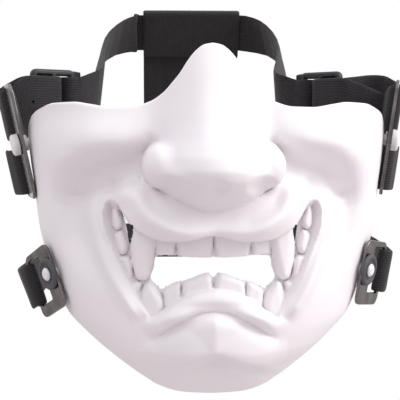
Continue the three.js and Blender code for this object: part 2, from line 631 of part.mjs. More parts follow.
ANCHORS.forEach(({ name, shoulder, foot }) => {
  const upper = name.startsWith('upper');
  const profile = upper
    ? studProfile(5, 4.6, 1.1, foot, shoulder)
    : studProfile(3, 3.6, 2.1, foot, shoulder);
  addPiece(`stud_${name}`, clean(turned(profile, FRAMES[name], 9)), WHITE);
  if (!upper) {
    const washer = [[2.6, 1.05], [7.4, 1.05], [7.4, 2], [6.7, 2.7], [5.6, 2.7], [4.8, 1.8], [2.6, 1.8], [2.6, 1.05]];
    addPiece(`washer_${name}`, clean(turned(washer, FRAMES[name], 14)), RUBBER);
  }
});

// ---------- anchor plates ----------
// outline and slots in the plate's own plane: b to the rear, u up
function rounded(b0, b1, u0, u1, r, corner, Kind = THREE.Path) {
  const path = new Kind();
  const arcs = [[b1 - r, u0 + r, -90], [b1 - r, u1 - r, 0], [b0 + r, u1 - r, 90], [b0 + r, u0 + r, 180]];
  const points = [];
  arcs.forEach(([cb, cu, from]) => {
    for (let k = 0; k <= corner; k += 1) {
      const t = rad(from + (90 * k) / corner);
      points.push(new THREE.Vector2(cb + r * Math.cos(t), cu + r * Math.sin(t)));
    }
  });
  path.setFromPoints(points);
  return path;
}
function round(cb, cu, r, parts) {
  const path = new THREE.Path();
  path.setFromPoints(Array.from({ length: parts }, (_, k) => {
    const t = (-2 * Math.PI * k) / parts;
    return new THREE.Vector2(cb + r * Math.cos(t), cu + r * Math.sin(t));
  }));
  return path;
}
function plateGeometry(frame, shape, thick) {
  const g = new THREE.ExtrudeGeometry(shape, { depth: thick, bevelEnabled: false });
  g.translate(0, 0, -thick / 2);
  const hand = frame.back.clone().cross(frame.up).dot(frame.out);
  const z = frame.out.clone().multiplyScalar(hand);
  g.applyMatrix4(new THREE.Matrix4().makeBasis(frame.back, frame.up, z).setPosition(frame.o));
  return mergeVertices(stripped(g), 1e-4);
}
const PLATE_HOLE = 2.6;
ANCHORS.forEach(({ name }) => {
  const upper = name.startsWith('upper');
  const shape = upper
    ? rounded(-8, 15.5, -26, 28, 5, 4, THREE.Shape)
    : rounded(-4.6, 19.6, -16.5, 13.5, 4, 3, THREE.Shape);
  shape.holes.push(round(0, 0, PLATE_HOLE, 12));
  if (upper) {
    shape.holes.push(rounded(7.3, 11.8, 1, 26.2, 0.8, 2));
    shape.holes.push(rounded(7.3, 11.8, -25, -1.9, 0.8, 2));
  } else {
    shape.holes.push(rounded(5.4, 17.1, -10.8, 10.8, 0.8, 2));
  }
  addPiece(`anchor_${name}`, plateGeometry(FRAMES[name], shape, PLATE_THICK), STEEL);
});

// ---------- sliders ----------
// along: towards the head, up, and face: towards the front, about a middle point
const SLIDERS = [
  { name: 'left', side: -1, at: [-75.5, 31, 20.5], heading: 38 },
  { name: 'right', side: 1, at: [59.4, 31, 19.5], heading: 134 },
];
const SLIDER_FRAMES = SLIDERS.map(({ side, at, heading }) => {
  const along = new THREE.Vector3(Math.cos(rad(heading)), Math.sin(rad(heading)), 0);
  const up = new THREE.Vector3(0, 0, 1);
  const face = new THREE.Vector3().crossVectors(along, up).multiplyScalar(-side);
  return { o: new THREE.Vector3(...at), back: along, up, out: face };
});
const SLIDER_THICK = 3.6;
SLIDERS.forEach(({ name }, i) => {
  const f = SLIDER_FRAMES[i];
  const shape = rounded(-12.5, 12.5, -15.6, 15.6, 3, 3, THREE.Shape);
  shape.holes.push(rounded(-9.6, -1.6, -12.3, 12.3, 0.3, 1));
  shape.holes.push(rounded(1.6, 9.4, -12.3, 12.3, 0.3, 1));
  const frame = solidOf(plateGeometry(f, shape, SLIDER_THICK));
  // the thumb tab at the head end, bent away from the head, with ribs across its end
  const tab = new THREE.Shape([[11, 1.2], [11, -1.6], [13.5, -2.4], [16.8, -4.6], [19.6, -7.2], [21.4, -7.0],
    [20.6, -5.6], [19.4, -5.2], [19, -4.2], [17.8, -3.8], [17.4, -2.8], [15.6, -1.4], [13.4, 0.4]]
    .map(([p, q]) => new THREE.Vector2(p, q)));
  const g = new THREE.ExtrudeGeometry(tab, { depth: 30, bevelEnabled: false });
  g.translate(0, 0, -15);
  const hand = f.back.clone().cross(f.out).dot(f.up);
  const axis = f.up.clone().multiplyScalar(hand);
  g.applyMatrix4(new THREE.Matrix4().makeBasis(f.back, f.out, axis).setPosition(f.o));
  addPiece(`slider_${name}`, geometryFrom(frame.add(solidOf(stripped(g)))), BUCKLE);
});

// ---------- webbing ----------
const row = (p, u, parts) => ({ x: p.x, y: p.y, z: p.z, ux: u.x, uy: u.y, uz: u.z, parts });
const vec = (x, y, z) => new THREE.Vector3(x, y, z);

// strap end: sewn round the slider's middle bar, out to the anchor on the inside, through its slot,
// back on the outside, then in front of the slider's end bars and behind its middle bar
function strapEnd(slider, anchor, sag, ...outside) {
  const s = (b, n, parts) => row(on(slider, b, 0, n), slider.up, parts);
  const a = (b, u, n, parts) => row(on(anchor, b, u, n), anchor.up, parts);
  return [
    s(-1.5, -3.2, 1), s(1.2, -3.2, 1), s(3.2, -2.2, 1), s(3.8, 0, 1), s(3.2, 2.4, 1), s(1, 3.4, 1),
    s(-6, 4.8, 1), s(-12.5, 5.8, 1), s(-16, 5.6, 1),
    a(22, 13 - sag, -4.4, 1), a(14.5, 13.5, -2.9, 1), a(11.3, 13.6, -2.4, 1), a(9.5, 13.6, 0, 1),
    a(11.3, 13.6, 2.4, 1), a(14.5, 13.6, 3, 1), ...outside,
    s(-16, 2.8, 1), s(-11.5, 3.1, 1), s(-9.2, 3, 1), s(-7.6, 1.2, 1), s(-6.4, -1.6, 1), s(-5, -4.2, 1),
    s(-2.4, -5.4, 1), s(2.4, -5.4, 1), s(4.8, -4.9, 1), s(6.4, -2.6, 1), s(7.2, 0.3, 1), s(8.6, 2.6, 1),
    s(10.8, 3.1, 1), s(15, 2.9, 2),
  ];
}
const LEAN = vec(0, -0.5, 0.87);
const crown = [
  row(vec(-56.5, 47, 23.5), vec(0.05, 0, 1)),
  row(vec(-53.2, 58, 27), vec(0.1, -0.25, 1)),
  row(vec(-53.5, 78, 34), vec(0.16, -0.4, 0.9)),
  row(vec(-56, 105, 44), vec(0.25, -0.42, 0.88)),
  row(vec(-54, 132, 54), vec(0.3, -0.42, 0.86)),
  row(vec(-46, 154, 62.5), vec(0.25, -0.45, 0.86)),
  row(vec(-36, 166.5, 66.4), LEAN, 2),
  row(vec(-31.5, 169.6, 67), LEAN, 1),
  row(vec(28.5, 169.6, 67), LEAN, 1),
  row(vec(33, 166.5, 66.4), LEAN),
  row(vec(43, 154, 62.5), vec(-0.25, -0.45, 0.86)),
  row(vec(48.5, 132, 54), vec(-0.3, -0.42, 0.86)),
  row(vec(48.5, 105, 43.5), vec(-0.25, -0.42, 0.88)),
  row(vec(43.5, 78, 33), vec(-0.16, -0.4, 0.9)),
  row(vec(39.6, 58, 26), vec(-0.1, -0.25, 1)),
  row(vec(41, 47, 22.5), vec(-0.05, 0, 1)),
];
const leftEnd = strapEnd(SLIDER_FRAMES[0], FRAMES.upper_left, 5,
  row(on(FRAMES.upper_left, 20, 14, 3.4), FRAMES.upper_left.up, 2));
const rightEnd = strapEnd(SLIDER_FRAMES[1], FRAMES.upper_right, 4, row(vec(90, 15.5, 18.2), vec(0.12, 0.1, 1), 1),
  row(vec(86.4, 21.6, 21.3), vec(0.05, 0.1, 1), 1), row(vec(79, 22.4, 20.8), vec(0, 0, 1), 2));
const upperRows = [...leftEnd, ...crown, ...rightEnd.reverse()];
addPiece('upper_strap', ribbon(route(upperRows, 2), WEBBING, WEBBING_THICK), ELASTIC);

// neck strap: each end is folded through its anchor and sewn down on the inside
function foldedEnd(anchor, inner) {
  const a = (b, n, parts) => row(on(anchor, b, 0, n), anchor.up, parts);
  return [...inner, a(21.5, -2, 1), a(18, -2.1, 1), a(16.6, -1.6, 1), a(15.8, 0, 1), a(16.6, 1.6, 1),
    a(18, 2.2, 1), a(22.5, 2.2, 2)];
}
const UP = vec(0, 0, 1);
const neck = [
  row(vec(-86.7, 6, -69.8), vec(-0.42, 0.2, 1)),
  row(vec(-86.8, 20, -69.8), vec(-0.3, 0.15, 1)),
  row(vec(-84.2, 60, -68.6), vec(-0.1, 0, 1)),
  row(vec(-76, 105, -65.6), UP),
  row(vec(-60, 142, -63.4), UP),
  row(vec(-42, 162, -62.7), UP, 2),
  row(vec(-31.5, 168, -62.7), UP, 1),
  row(vec(28.5, 168, -62.7), UP, 1),
  row(vec(38, 162, -62.7), UP, 2),
  row(vec(57, 142, -61.8), UP),
  row(vec(75, 105, -60), UP),
  row(vec(83.4, 70, -58.4), UP),
  row(vec(87, 45, -58.6), UP),
  row(vec(88.2, 20, -60.2), vec(0.05, 0.05, 1)),
  row(vec(88.3, 7, -61.4), vec(0.12, 0.1, 1)),
];
const leftNeckEnd = foldedEnd(FRAMES.lower_left, [
  row(vec(-83.8, 31, -69.5), vec(-0.25, 0.15, 1), 1),
  row(vec(-84.4, 19, -69.8), vec(-0.3, 0.15, 1), 1),
  row(vec(-83.9, 6, -69.6), vec(-0.42, 0.2, 1), 1),
]);
const rightNeckEnd = foldedEnd(FRAMES.lower_right, [
  row(vec(85.3, 31, -59.6), vec(0.03, 0.05, 1), 1),
  row(vec(85.7, 19, -60.4), vec(0.05, 0.05, 1), 1),
  row(vec(85.2, 7, -61.4), vec(0.12, 0.1, 1), 1),
]);
addPiece('lower_strap', ribbon(route([...leftNeckEnd, ...neck, ...rightNeckEnd.reverse()], 2), NECK_WIDE,
  WEBBING_THICK), ELASTIC);

// back band: folded forward over the crown strap above and round the neck strap below
const ACROSS = vec(1, 0, 0);
const crownMid = vec(-1.5, 169.6, 67);
const front = vec(0, -0.867, -0.498);
const b = (s, n, parts) => row(crownMid.clone().addScaledVector(vec(0, -0.498, 0.867), s).addScaledVector(front, n), ACROSS, parts);
const y = (yy, zz, parts) => row(vec(-1.5, yy, zz), ACROSS, parts);
const bandRows = [
  b(-15, 2.3, 1), b(11.5, 2.2, 2), b(13.9, 1.4, 2), b(13.9, -1.4, 2), b(11.5, -2.2, 1), b(-12, -2.2, 2),
  y(182, 40, 2), y(186, 20, 2), y(187, 0, 2), y(186, -18, 2), y(180.5, -36, 2), y(172.5, -47, 2),
  y(170.4, -54, 1), y(170.3, -71.3, 2), y(169.2, -73.9, 1), y(166.8, -73.9, 1), y(165.7, -71.3, 1), y(165.7, -48, 1),
];
addPiece('back_band', ribbon(route(bandRows, 2), BAND, WEBBING_THICK), ELASTIC);

// short tabs folded through the lower slots of the upper anchors
ANCHORS.slice(0, 2).forEach(({ name }) => {
  const a = (bb, n, parts) => row(on(FRAMES[name], bb, -13.5, n), FRAMES[name].up, parts);
  const rows = [a(26, -2.4, 1), a(20, -2.6, 1), a(14, -2.6, 1), a(11.2, -2.3, 1), a(9.5, 0, 1), a(11.2, 2.5, 1),
    a(14, 3.6, 1), a(20, 5.2, 2), a(28, 4.4, 1)];
  addPiece(`tab_${name}`, ribbon(route(rows, 2), TAB, WEBBING_THICK), ELASTIC);
});

export default group;
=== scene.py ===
"""Half face guard moulded as a snarling samurai mask, worn on black elastic straps.

Sizes below are millimetres in the shared frame: +X to the viewer's right, -Y to the front,
+Y to the back of the head, +Z up. Meshes are turned to metres when they are made.
"""
import math

import bmesh
import bpy
import numpy as np
from mathutils import Matrix, Vector


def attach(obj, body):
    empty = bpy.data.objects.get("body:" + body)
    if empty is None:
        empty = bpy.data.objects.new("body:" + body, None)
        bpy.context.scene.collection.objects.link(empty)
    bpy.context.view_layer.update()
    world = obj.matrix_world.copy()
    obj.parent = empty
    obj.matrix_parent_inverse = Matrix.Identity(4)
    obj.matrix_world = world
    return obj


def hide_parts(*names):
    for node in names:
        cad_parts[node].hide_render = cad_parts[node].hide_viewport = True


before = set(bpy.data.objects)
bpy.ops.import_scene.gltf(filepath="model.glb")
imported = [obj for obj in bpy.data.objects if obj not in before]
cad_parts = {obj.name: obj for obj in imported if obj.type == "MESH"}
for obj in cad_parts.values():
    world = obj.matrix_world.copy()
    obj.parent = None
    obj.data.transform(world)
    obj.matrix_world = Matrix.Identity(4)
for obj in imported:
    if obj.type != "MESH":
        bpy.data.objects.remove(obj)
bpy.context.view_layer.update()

# ---------------------------------------------------------------------------------------
# The moulded face plate: one white ABS moulding, about 3 mm thick, open at the back.
# The nose, cheeks, lips, bared teeth and chin are one relief over a plain curved face,
# and the mouth and two slits beside the upper fangs are cut right through.
# ---------------------------------------------------------------------------------------
WALL = 3.0  # thickness of the moulding
# height, half width and forward reach of the rear rim
RIM = dict(
    z=(12, 8, 4, -6, -21, -38, -52, -65, -77, -85, -93.5, -101, -105.3),
    half=(81.5, 83.5, 84, 83, 81, 79, 75.7, 71.5, 65.5, 57, 45.5, 33.5, 26),
    reach=(8, 2, 0, 0, 0, 0, 0, 3, 8, 14, 23, 33, 38),
)
# the top edge, from the bridge of the nose out to the side
TOP = dict(
    a=(0, 3.8, 7, 11, 14, 17, 21.5, 27, 35, 44, 54, 61, 70, 77, 81.5),
    z=(42, 41.2, 39, 34.2, 29.5, 25.8, 20.9, 17.3, 15.1, 14.9, 16.4, 17.4, 17.3, 15, 12),
)
BOTTOM = dict(a=(0, 13, 26), z=(-108.6, -108, -105.3))
# the grid's corners: half widths and height at the foot and the top, and the middle line's foot
FOOT_HALF, TOP_HALF = 26, 81.5
FOOT_Z, SIDE_TALL = -105.3, 117.3
MIDDLE_FOOT, MIDDLE_TALL = -108.6, 150.6
# forward reach of the plain face on its middle line
MIDDLE = dict(
    z=(42, 30, 10, -10, -30, -50, -70, -85, -90, -97, -103, -108.6),
    reach=(50, 52, 57, 61, 65, 66, 66, 65, 63, 57, 51, 45),
)
# the nose: lift off the face, half width, and how full its section is
NOSE = dict(
    z=(42, 32, 20, 10, 3, -2, -6, -10, -14, -18, -21, -24, -27, -29),
    lift=(2, 6, 11, 16.5, 22, 26, 28.4, 29, 27, 22, 17, 11.5, 5, 0),
    half=(15, 19, 22, 23.5, 23, 24.5, 27, 28.2, 27.6, 24, 19.5, 14, 7.5, 2),
    full=(1.6, 1.6, 1.6, 1.5, 1.15, 0.82, 0.66, 0.58, 0.52, 0.5, 0.52, 0.6, 0.7, 1),
)
# the cheeks: height of the crest and how far it stands out, from the nose to the side
CHEEK = dict(
    a=(0, 18, 24, 32, 42, 52, 62, 72, 80, 84),
    z=(7, 6.5, 5.5, 4, 2, 1, -1, -4, -7, -9),
    lift=(0, 0, 1.6, 6, 10, 11.4, 9.2, 3.8, 0.6, 0),
)


def read(table, key, column, at):
    """Column of a table at places along its key, as a smooth curve without overshoot."""
    order = np.argsort(table[key])
    X, Y = np.array(table[key], float)[order], np.array(table[column], float)[order]
    h = np.diff(X)
    d = np.diff(Y) / h
    m = np.concatenate([[d[0]], np.zeros(len(X) - 2), [d[-1]]])
    for k in range(1, len(X) - 1):
        if d[k - 1] * d[k] > 0:
            weight = (2 * h[k] + h[k - 1]) / d[k - 1] + (h[k] + 2 * h[k - 1]) / d[k]
            m[k] = 3 * (h[k - 1] + h[k]) / weight
    at = np.asarray(at, float)
    k = np.clip(np.searchsorted(X, at) - 1, 0, len(X) - 2)
    t = np.clip((at - X[k]) / h[k], 0, 1)
    u = 1 - t
    first = Y[k] * (1 + 2 * t) * u * u + m[k] * h[k] * t * u * u
    return first + Y[k + 1] * t * t * (3 - 2 * t) + m[k + 1] * h[k] * t * t * (t - 1)


def rise(a, b, t):
    """0 before a, 1 after b, and a soft step between."""
    q = np.clip((t - a) / (b - a), 0, 1)
    return q * q * (3 - 2 * q)


def line_through(points, closed=False, parts=8):
    """A smooth line through flat points."""
    p = np.array(points, float)
    n = len(p)
    out = []
    for i in range(n if closed else n - 1):
        ring = [(i + k) % n if closed else min(max(i + k, 0), n - 1) for k in (-1, 0, 1, 2)]
        a, b, c, d = p[ring]
        for t in np.arange(parts) / parts:
            out.append(0.5 * (2 * b + (c - a) * t + (2 * a - 5 * b + 4 * c - d) * t * t
                              + (3 * b - a - 3 * c + d) * t ** 3))
    return np.array(out if closed else out + [p[-1]])


def to_line(x, z, line):
    """Distance to an open line, and the share of its length at the nearest place."""
    best, share = np.full(x.shape, 1e9), np.zeros(x.shape)
    ways = np.diff(line, axis=0)
    long = np.hypot(*ways.T)
    run = np.concatenate([[0], np.cumsum(long)])
    for a, d, l, c in zip(line, ways, long, run):
        t = np.clip(((x - a[0]) * d[0] + (z - a[1]) * d[1]) / (l * l), 0, 1)
        away = np.hypot(x - a[0] - t * d[0], z - a[1] - t * d[1])
        nearer = away < best
        best, share = np.where(nearer, away, best), np.where(nearer, (c + t * l) / run[-1], share)
    return best, share


def depth_in(x, z, loop):
    """Distance to a closed loop, positive inside it, and the nearest place on the loop."""
    best, odd = np.full(x.shape, 1e9), np.zeros(x.shape, bool)
    near = np.zeros(x.shape + (2,))
    for a, b in zip(loop, np.roll(loop, -1, axis=0)):
        d = b - a
        t = np.clip(((x - a[0]) * d[0] + (z - a[1]) * d[1]) / max(d @ d, 1e-9), 0, 1)
        px, pz = a[0] + t * d[0], a[1] + t * d[1]
        away = np.hypot(x - px, z - pz)
        nearer = away < best
        best = np.where(nearer, away, best)
        near = np.where(nearer[..., None], np.stack([px, pz], -1), near)
        if d[1]:
            odd ^= ((a[1] > z) != (b[1] > z)) & (x < d[0] * (z - a[1]) / d[1] + a[0])
    return np.where(odd, best, -best), near


def dome(x, z, cx, cz, rx, rz, power):
    """A rounded swelling over an oval: 1 at its middle and 0 at its edge."""
    return np.clip(1 - ((x - cx) / rx) ** 2 - ((z - cz) / rz) ** 2, 0, 1) ** power


def blend_max(a, b, k):
    """The larger of two heights, with the step between them rounded."""
    h = np.clip(0.5 + 0.5 * (a - b) / k, 0, 1)
    return b + (a - b) * h + k * h * (1 - h)


# lines of the face as half distance and height, from their first to their last end
VALLEY = [(20.5, 1.5), (27, -4), (34, -8), (44, -11.5), (53, -17), (58, -26), (57, -37),
          (52.5, -47), (47, -57), (41.5, -67)]
BAG = [(66, -17), (60, -22.4), (55, -22.8), (51, -19.9), (43.6, -17.6), (37, -16.6), (30.5, -15.2)]
LOBE = [(43, -19.8), (36, -20), (31, -23), (26, -28.6), (17, -34), (8.4, -36), (0, -35.2)]
CREASE = [(30.5, -15.2), (27.7, -19.9), (24.3, -26.2), (17.5, -30.6), (11.3, -33.2), (5.5, -35)]
RIDGE = [(42, -19), (46, -19), (49.6, -21.6), (51.8, -26), (51.9, -32.4), (49.2, -41.8),
         (45, -51.3), (39.8, -60.8), (34.6, -69.2), (30.5, -75.3)]
CHIN = [(0, -70.3), (9, -72), (18, -76.8), (25, -81.6), (30, -85)]
LOW_LIP = [(0, -64.3), (8.5, -66.1), (17, -70.6), (24, -75.4), (30, -79.6)]
WING = [(22.5, 2.5), (19.5, -0.5), (17.2, -4.5), (15.8, -9), (14.8, -13.5)]
LIP_EDGE = line_through([(0, -37.4), (4, -37.7), (10, -39.4), (16, -40), (23.5, -39.4), (30, -36.8),
                         (34.2, -33.9), (38, -28.5), (41.2, -23.2)])
CORNER = line_through([(41.2, -23.2), (43.6, -22.2), (46.4, -23.2), (48.4, -27), (48.6, -33), (46.2, -42),
                       (41.8, -51.5), (36.7, -61.5), (31.6, -69.6), (27.6, -75)])
LOW_LIP_TOP = line_through([(27.6, -75), (21.5, -70.6), (15.5, -66), (8.3, -62.6), (0, -61)])
MOUTH = np.vstack([LIP_EDGE, CORNER, LOW_LIP_TOP])
MOUTH = np.vstack([MOUTH, (MOUTH * [-1, 1])[::-1]])
# through cuts: the bite between the teeth, and the slits beside the upper fangs
BITE = [(0, -47.5), (10.3, -47.3), (23.2, -46.9), (25.3, -52.5), (26.7, -57), (24.5, -59.8),
        (21.7, -61.7), (17, -59), (13.3, -58.2), (9.9, -57), (5, -55), (2.4, -54.7), (0, -56.4)]
SLIT = [(40.9, -24.6), (37.4, -33.5), (35.9, -42), (35, -42), (33.6, -34), (36.5, -32.6)]
# teeth: how far each stands off the gums, how wide its edge is rounded, and its outline
TEETH = [
    (3.6, 2.4, [(0.9, -34), (0.9, -46.4), (2.2, -47.6), (8, -47.8), (13.8, -47.4), (15.1, -46.2),
                (15.4, -34)]),
    (3.0, 2.2, [(16.3, -34), (16.3, -46), (17.6, -47.2), (20, -47.4), (23.6, -47), (24.6, -45.8),
                (24.8, -34)]),
    (3.8, 2.2, [(0.6, -57.5), (2.2, -54.7), (5.2, -54.9), (10.2, -56.7), (12.6, -57.9), (13.4, -60.5),
                (13.2, -66), (5, -64), (0.6, -63)]),
    (3.6, 2.0, [(13.9, -60), (14.6, -58.3), (18, -59.2), (20.8, -61.2), (21.3, -64), (20.5, -70),
                (14, -66)]),
    (5.2, 3.6, [(24.5, -60.5), (27, -58), (29.3, -59.5), (30.8, -65), (30.6, -71), (28, -75.5),
                (23.2, -73.5), (20.9, -69), (21.5, -64.5)]),
    (3.4, 2.0, [(30.4, -59), (33, -58.2), (34.8, -59.5), (34.2, -64), (32.2, -68.5), (31, -63)]),
    (3.8, 2.2, [(41.2, -25), (43.2, -28), (43.2, -34), (41.6, -36.8), (39.2, -36), (38.4, -33),
                (39.6, -29)]),
    (4.2, 2.4, [(38.2, -37), (41.2, -37.6), (42.2, -40), (40.2, -46.4), (37.4, -47), (36.2, -43)]),
    (4.2, 2.4, [(36.2, -47.6), (39.4, -48), (39.2, -50.4), (36.6, -56.8), (34.2, -57.6), (34.4, -51)]),
    (5.6, 4.2, [(23.6, -36), (24.6, -45), (26.4, -53), (28.2, -57.2), (31, -58), (33.2, -56.2),
                (34.9, -49), (35.3, -42), (34.8, -34), (30, -32)]),
]
GUM = 6.8  # how far the gums lie behind the plain face


def place(s, v, inset=0.0):
    """Front-view place of a grid point, s from -1 to 1 across and v from 0 to 1 upwards."""
    across = FOOT_Z + SIDE_TALL * v
    low = read(BOTTOM, "a", "z", np.abs(s) * FOOT_HALF)
    top = read(TOP, "a", "z", np.abs(s) * TOP_HALF)
    x = s * (read(RIM, "z", "half", across) - inset)
    return x, low + (top - low) * v, read(RIM, "z", "reach", across)


def plain_reach(s, v):
    """Front-view place and forward reach of the plain curved face."""
    x, z, rim = place(s, v)
    middle = read(MIDDLE, "z", "reach", 0.5 * (MIDDLE_FOOT + MIDDLE_TALL * v) + 0.5 * z)
    return x, z, rim + (middle - rim) * np.sqrt(np.clip(1 - s * s, 0, 1))


def fold(a, z, points, width, height, ends):
    """A rounded fold along a line, with its width and height at start, middle and end."""
    away, t = to_line(a, z, line_through(points))
    w = read(dict(t=(0, 0.5, 1), w=width), "t", "w", t)
    h = read(dict(t=(0, 0.5, 1), h=height), "t", "h", t)
    fade = rise(0, max(ends[0], 1e-6), t) * rise(0, max(ends[1], 1e-6), 1 - t)
    return h * np.exp(-((away / w) ** 2)) * fade


def relief(x, z, base):
    """Forward reach of the moulded face over its plain form."""
    a = np.sqrt(x * x + 1.2) - 0.4
    f = base.copy()
    # cheeks, the valleys under them and the bags above the mouth's corners
    away = z - read(CHEEK, "a", "z", a)
    crest = away / np.where(away > 0, 14, 10.5)
    f += read(CHEEK, "a", "lift", a) * np.exp(-(crest ** 2))
    f -= fold(a, z, VALLEY, (4.5, 8.6, 8), (5, 10, 4.6), (0.05, 0.35))
    f += 2.5 * dome(a, z, 61, -15, 13, 13, 1.4)
    f -= fold(a, z, BAG, (2.2, 2.4, 2), (1.2, 3, 3), (0.25, 0))
    # the swollen upper lip and the raised edge round the corner of the mouth
    f += 5 * dome(np.sqrt(x * x + 60), z, 24, -30, 27, 20, 0.9)
    f += fold(a, z, LOBE, (5.2, 6.2, 3.4), (3.5, 6.8, 3), (0.12, 0))
    f -= fold(a, z, CREASE, (2.8, 3.2, 2.2), (1.4, 2.2, 0.9), (0.2, 0.3))
    f += fold(a, z, RIDGE, (3, 3.4, 2.8), (3.4, 4.8, 3.2), (0.12, 0.12))
    # chin: two planes that meet on a middle ridge, turned under below a bent line
    under = -86.5 - 0.42 * a
    f += rise(-66, -73, z) * 7.5 * blend_max(1 - a / 27, 0 * a, 0.12) * rise(-6, 1.2, z - under)
    f -= 1.6 * np.exp(-(((z - under + 4) / 3) ** 2)) * np.sqrt(np.clip(1 - a / 30, 0, 1))
    f += 2 * dome(a, z, 17, -88, 15, 13, 1.2)
    f -= fold(a, z, CHIN, (2.8, 2.8, 2.8), (1.6, 2.6, 1.5), (0, 0.2))
    lip, t = to_line(a, z, line_through(LOW_LIP))
    f += 4.4 * np.clip(1 - (lip / 4.6) ** 2, 0, 1) ** 0.7 * rise(1.0, 0.75, t)
    # nose, its wings and its nostrils
    half = read(NOSE, "z", "half", z)
    p = np.clip(1 - (a / half) ** 2, 0, 1)
    nose = np.where(a < half, base + read(NOSE, "z", "lift", z) * p ** read(NOSE, "z", "full", z),
                    base - (60 - 50 * rise(-10, 4, z)) * (a / half - 1))
    f = np.where(z > -30.5, blend_max(f, nose, 3.5), f)
    q = 1 - ((a - 20.6) / 8.6) ** 2 - ((z + 9.0) / 9.6) ** 2
    wing = np.where(q > 0, 66 + 10.8 * np.sqrt(np.clip(q, 0, 1)), 66 + 60 * q)
    f = blend_max(f, wing, 5.0)
    f -= fold(a, z, WING, (2.6, 3.0, 2.8), (0.9, 1.3, 0.7), (0.25, 0.35))
    f -= 4.2 * dome(a, z, 18.6, -17.2, 8, 5.6, 2)
    f -= 2.6 * dome(x, z, 0, -17.2, 6, 4.2, 2)
    return f


def bitten(x, z, base):
    """Forward reach inside the mouth: gums and teeth behind the lips."""
    a = np.abs(x)
    up, out, low = (to_line(a, z, line)[0] for line in (LIP_EDGE, CORNER, LOW_LIP_TOP))
    f = base + 1.5 - 8.5 * rise(0, 1.6, up) * rise(0, 6, out) * rise(0, 1.4, low)
    for stand, edge, outline in TEETH:
        q, _ = depth_in(a, z, line_through(outline, closed=True, parts=5))
        t = np.clip(q / edge, 0, 1)
        f = np.where(q > 0, np.maximum(f, base - GUM + stand * np.sqrt(1 - (1 - t) ** 2)), f)
    return f


def face_at(x, z, base):
    """Forward reach of the outside: the relief, and the teeth where the mouth is."""
    f = relief(x, z, base)
    w = rise(-0.3, 1.1, depth_in(x, z, MOUTH)[0])
    return f * (1 - w) + np.minimum(bitten(x, z, base), f) * w


def base_at(x, z):
    """Plain reach at places of the front view."""
    s, v = x / 80, np.full(x.shape, 0.5)
    for _ in range(12):
        low = read(BOTTOM, "a", "z", np.abs(s) * FOOT_HALF)
        v = np.clip((z - low) / (read(TOP, "a", "z", np.abs(s) * TOP_HALF) - low), 0, 1)
        s = np.clip(x / read(RIM, "z", "half", FOOT_Z + SIDE_TALL * v), -1, 1)
    return plain_reach(s, v)[2]


def cuts():
    """Closed outlines of the three through cuts."""
    bite = np.array(BITE + [(-a, z) for a, z in BITE[:0:-1]], float)
    slit = np.array(SLIT, float)
    return [line_through(cut, closed=True, parts=4) for cut in (bite, slit, slit * [-1, 1])]


def make_object(name, points, faces):
    """A mesh object from points in millimetres and faces of point numbers."""
    mesh = bpy.data.meshes.new(name)
    mesh.from_pydata((np.asarray(points, float) / 1000).tolist(), [], [list(f) for f in faces])
    mesh.validate()
    mesh.polygons.foreach_set("use_smooth", [True] * len(mesh.polygons))
    mesh.update()
    made = bpy.data.objects.new(name, mesh)
    bpy.context.scene.collection.objects.link(made)
    return made


def close_up(mesh, reach=0):
    """Joins points closer than reach, in metres, and turns every face outwards."""
    work = bmesh.new()
    work.from_mesh(mesh)
    if reach:
        bmesh.ops.remove_doubles(work, verts=work.verts, dist=reach)
    bmesh.ops.recalc_face_normals(work, faces=work.faces)
    work.to_mesh(mesh)
    work.free()


def grid_faces(rows, columns, first=0):
    """Four-sided faces over rows and columns of points."""
    i = first + np.arange(rows * columns).reshape(rows, columns)
    return np.stack([i[:-1, :-1], i[:-1, 1:], i[1:, 1:], i[1:, :-1]], -1).reshape(-1, 4)


AT_SIDE = 0.99999  # a grid point this far across lies on the side rim


def shell_side(s, v, inset, reach_of):
    """One side of the shell as points and faces, with the mouth and slits left open."""
    S, V = np.meshgrid(s, v)
    x, z, rim = place(S, V, inset)
    for loop in cuts():
        q, near = depth_in(x, z, loop)
        step_x = np.abs(np.gradient(x, axis=1))
        step_z = np.abs(np.gradient(z, axis=0))
        take = np.abs(q) < 0.5 * np.maximum(step_x, step_z)
        x, z = np.where(take, near[..., 0], x), np.where(take, near[..., 1], z)
    reach = reach_of(x, z)
    y = np.where(np.abs(S) > AT_SIDE, -rim, -np.maximum(reach, rim))
    faces = grid_faces(len(v), len(s))
    mid_x, mid_z = x.ravel()[faces].mean(1), z.ravel()[faces].mean(1)
    keep = np.ones(len(faces), bool)
    for loop in cuts():
        keep &= depth_in(mid_x, mid_z, loop)[0] < 0
    return np.stack([x, y, z], -1).reshape(-1, 3), faces[keep]


def rim_of(points, faces):
    """The open edges of a grid of faces, each as a pair of point numbers in face order."""
    pairs = np.stack([faces, np.roll(faces, -1, axis=1)], -1).reshape(-1, 2)
    keys = np.sort(pairs, axis=1)
    _, index, count = np.unique(keys, axis=0, return_index=True, return_counts=True)
    return pairs[index[count == 1]]


FINE = 1
ACROSS = dict(i=(0, 0.72, 0.9, 0.97, 1), s=(0, 0.63, 0.92, 0.99, 1))
UPWARD = dict(i=(0, 0.12, 0.86, 1), v=(0, 0.16, 0.8, 1))


def spread(count, table, column):
    """Grid places from 0 to 1, spaced by a table."""
    return read(table, "i", column, np.linspace(0, 1, count))


half_s = spread(130 // FINE + 1, ACROSS, "s")
s_outer = np.concatenate([-half_s[:0:-1], half_s])
v_outer = spread(232 // FINE + 1, UPWARD, "v")
outer_points, outer_faces = shell_side(
    s_outer, v_outer, 0, lambda x, z: face_at(x, z, base_at(x, z)))

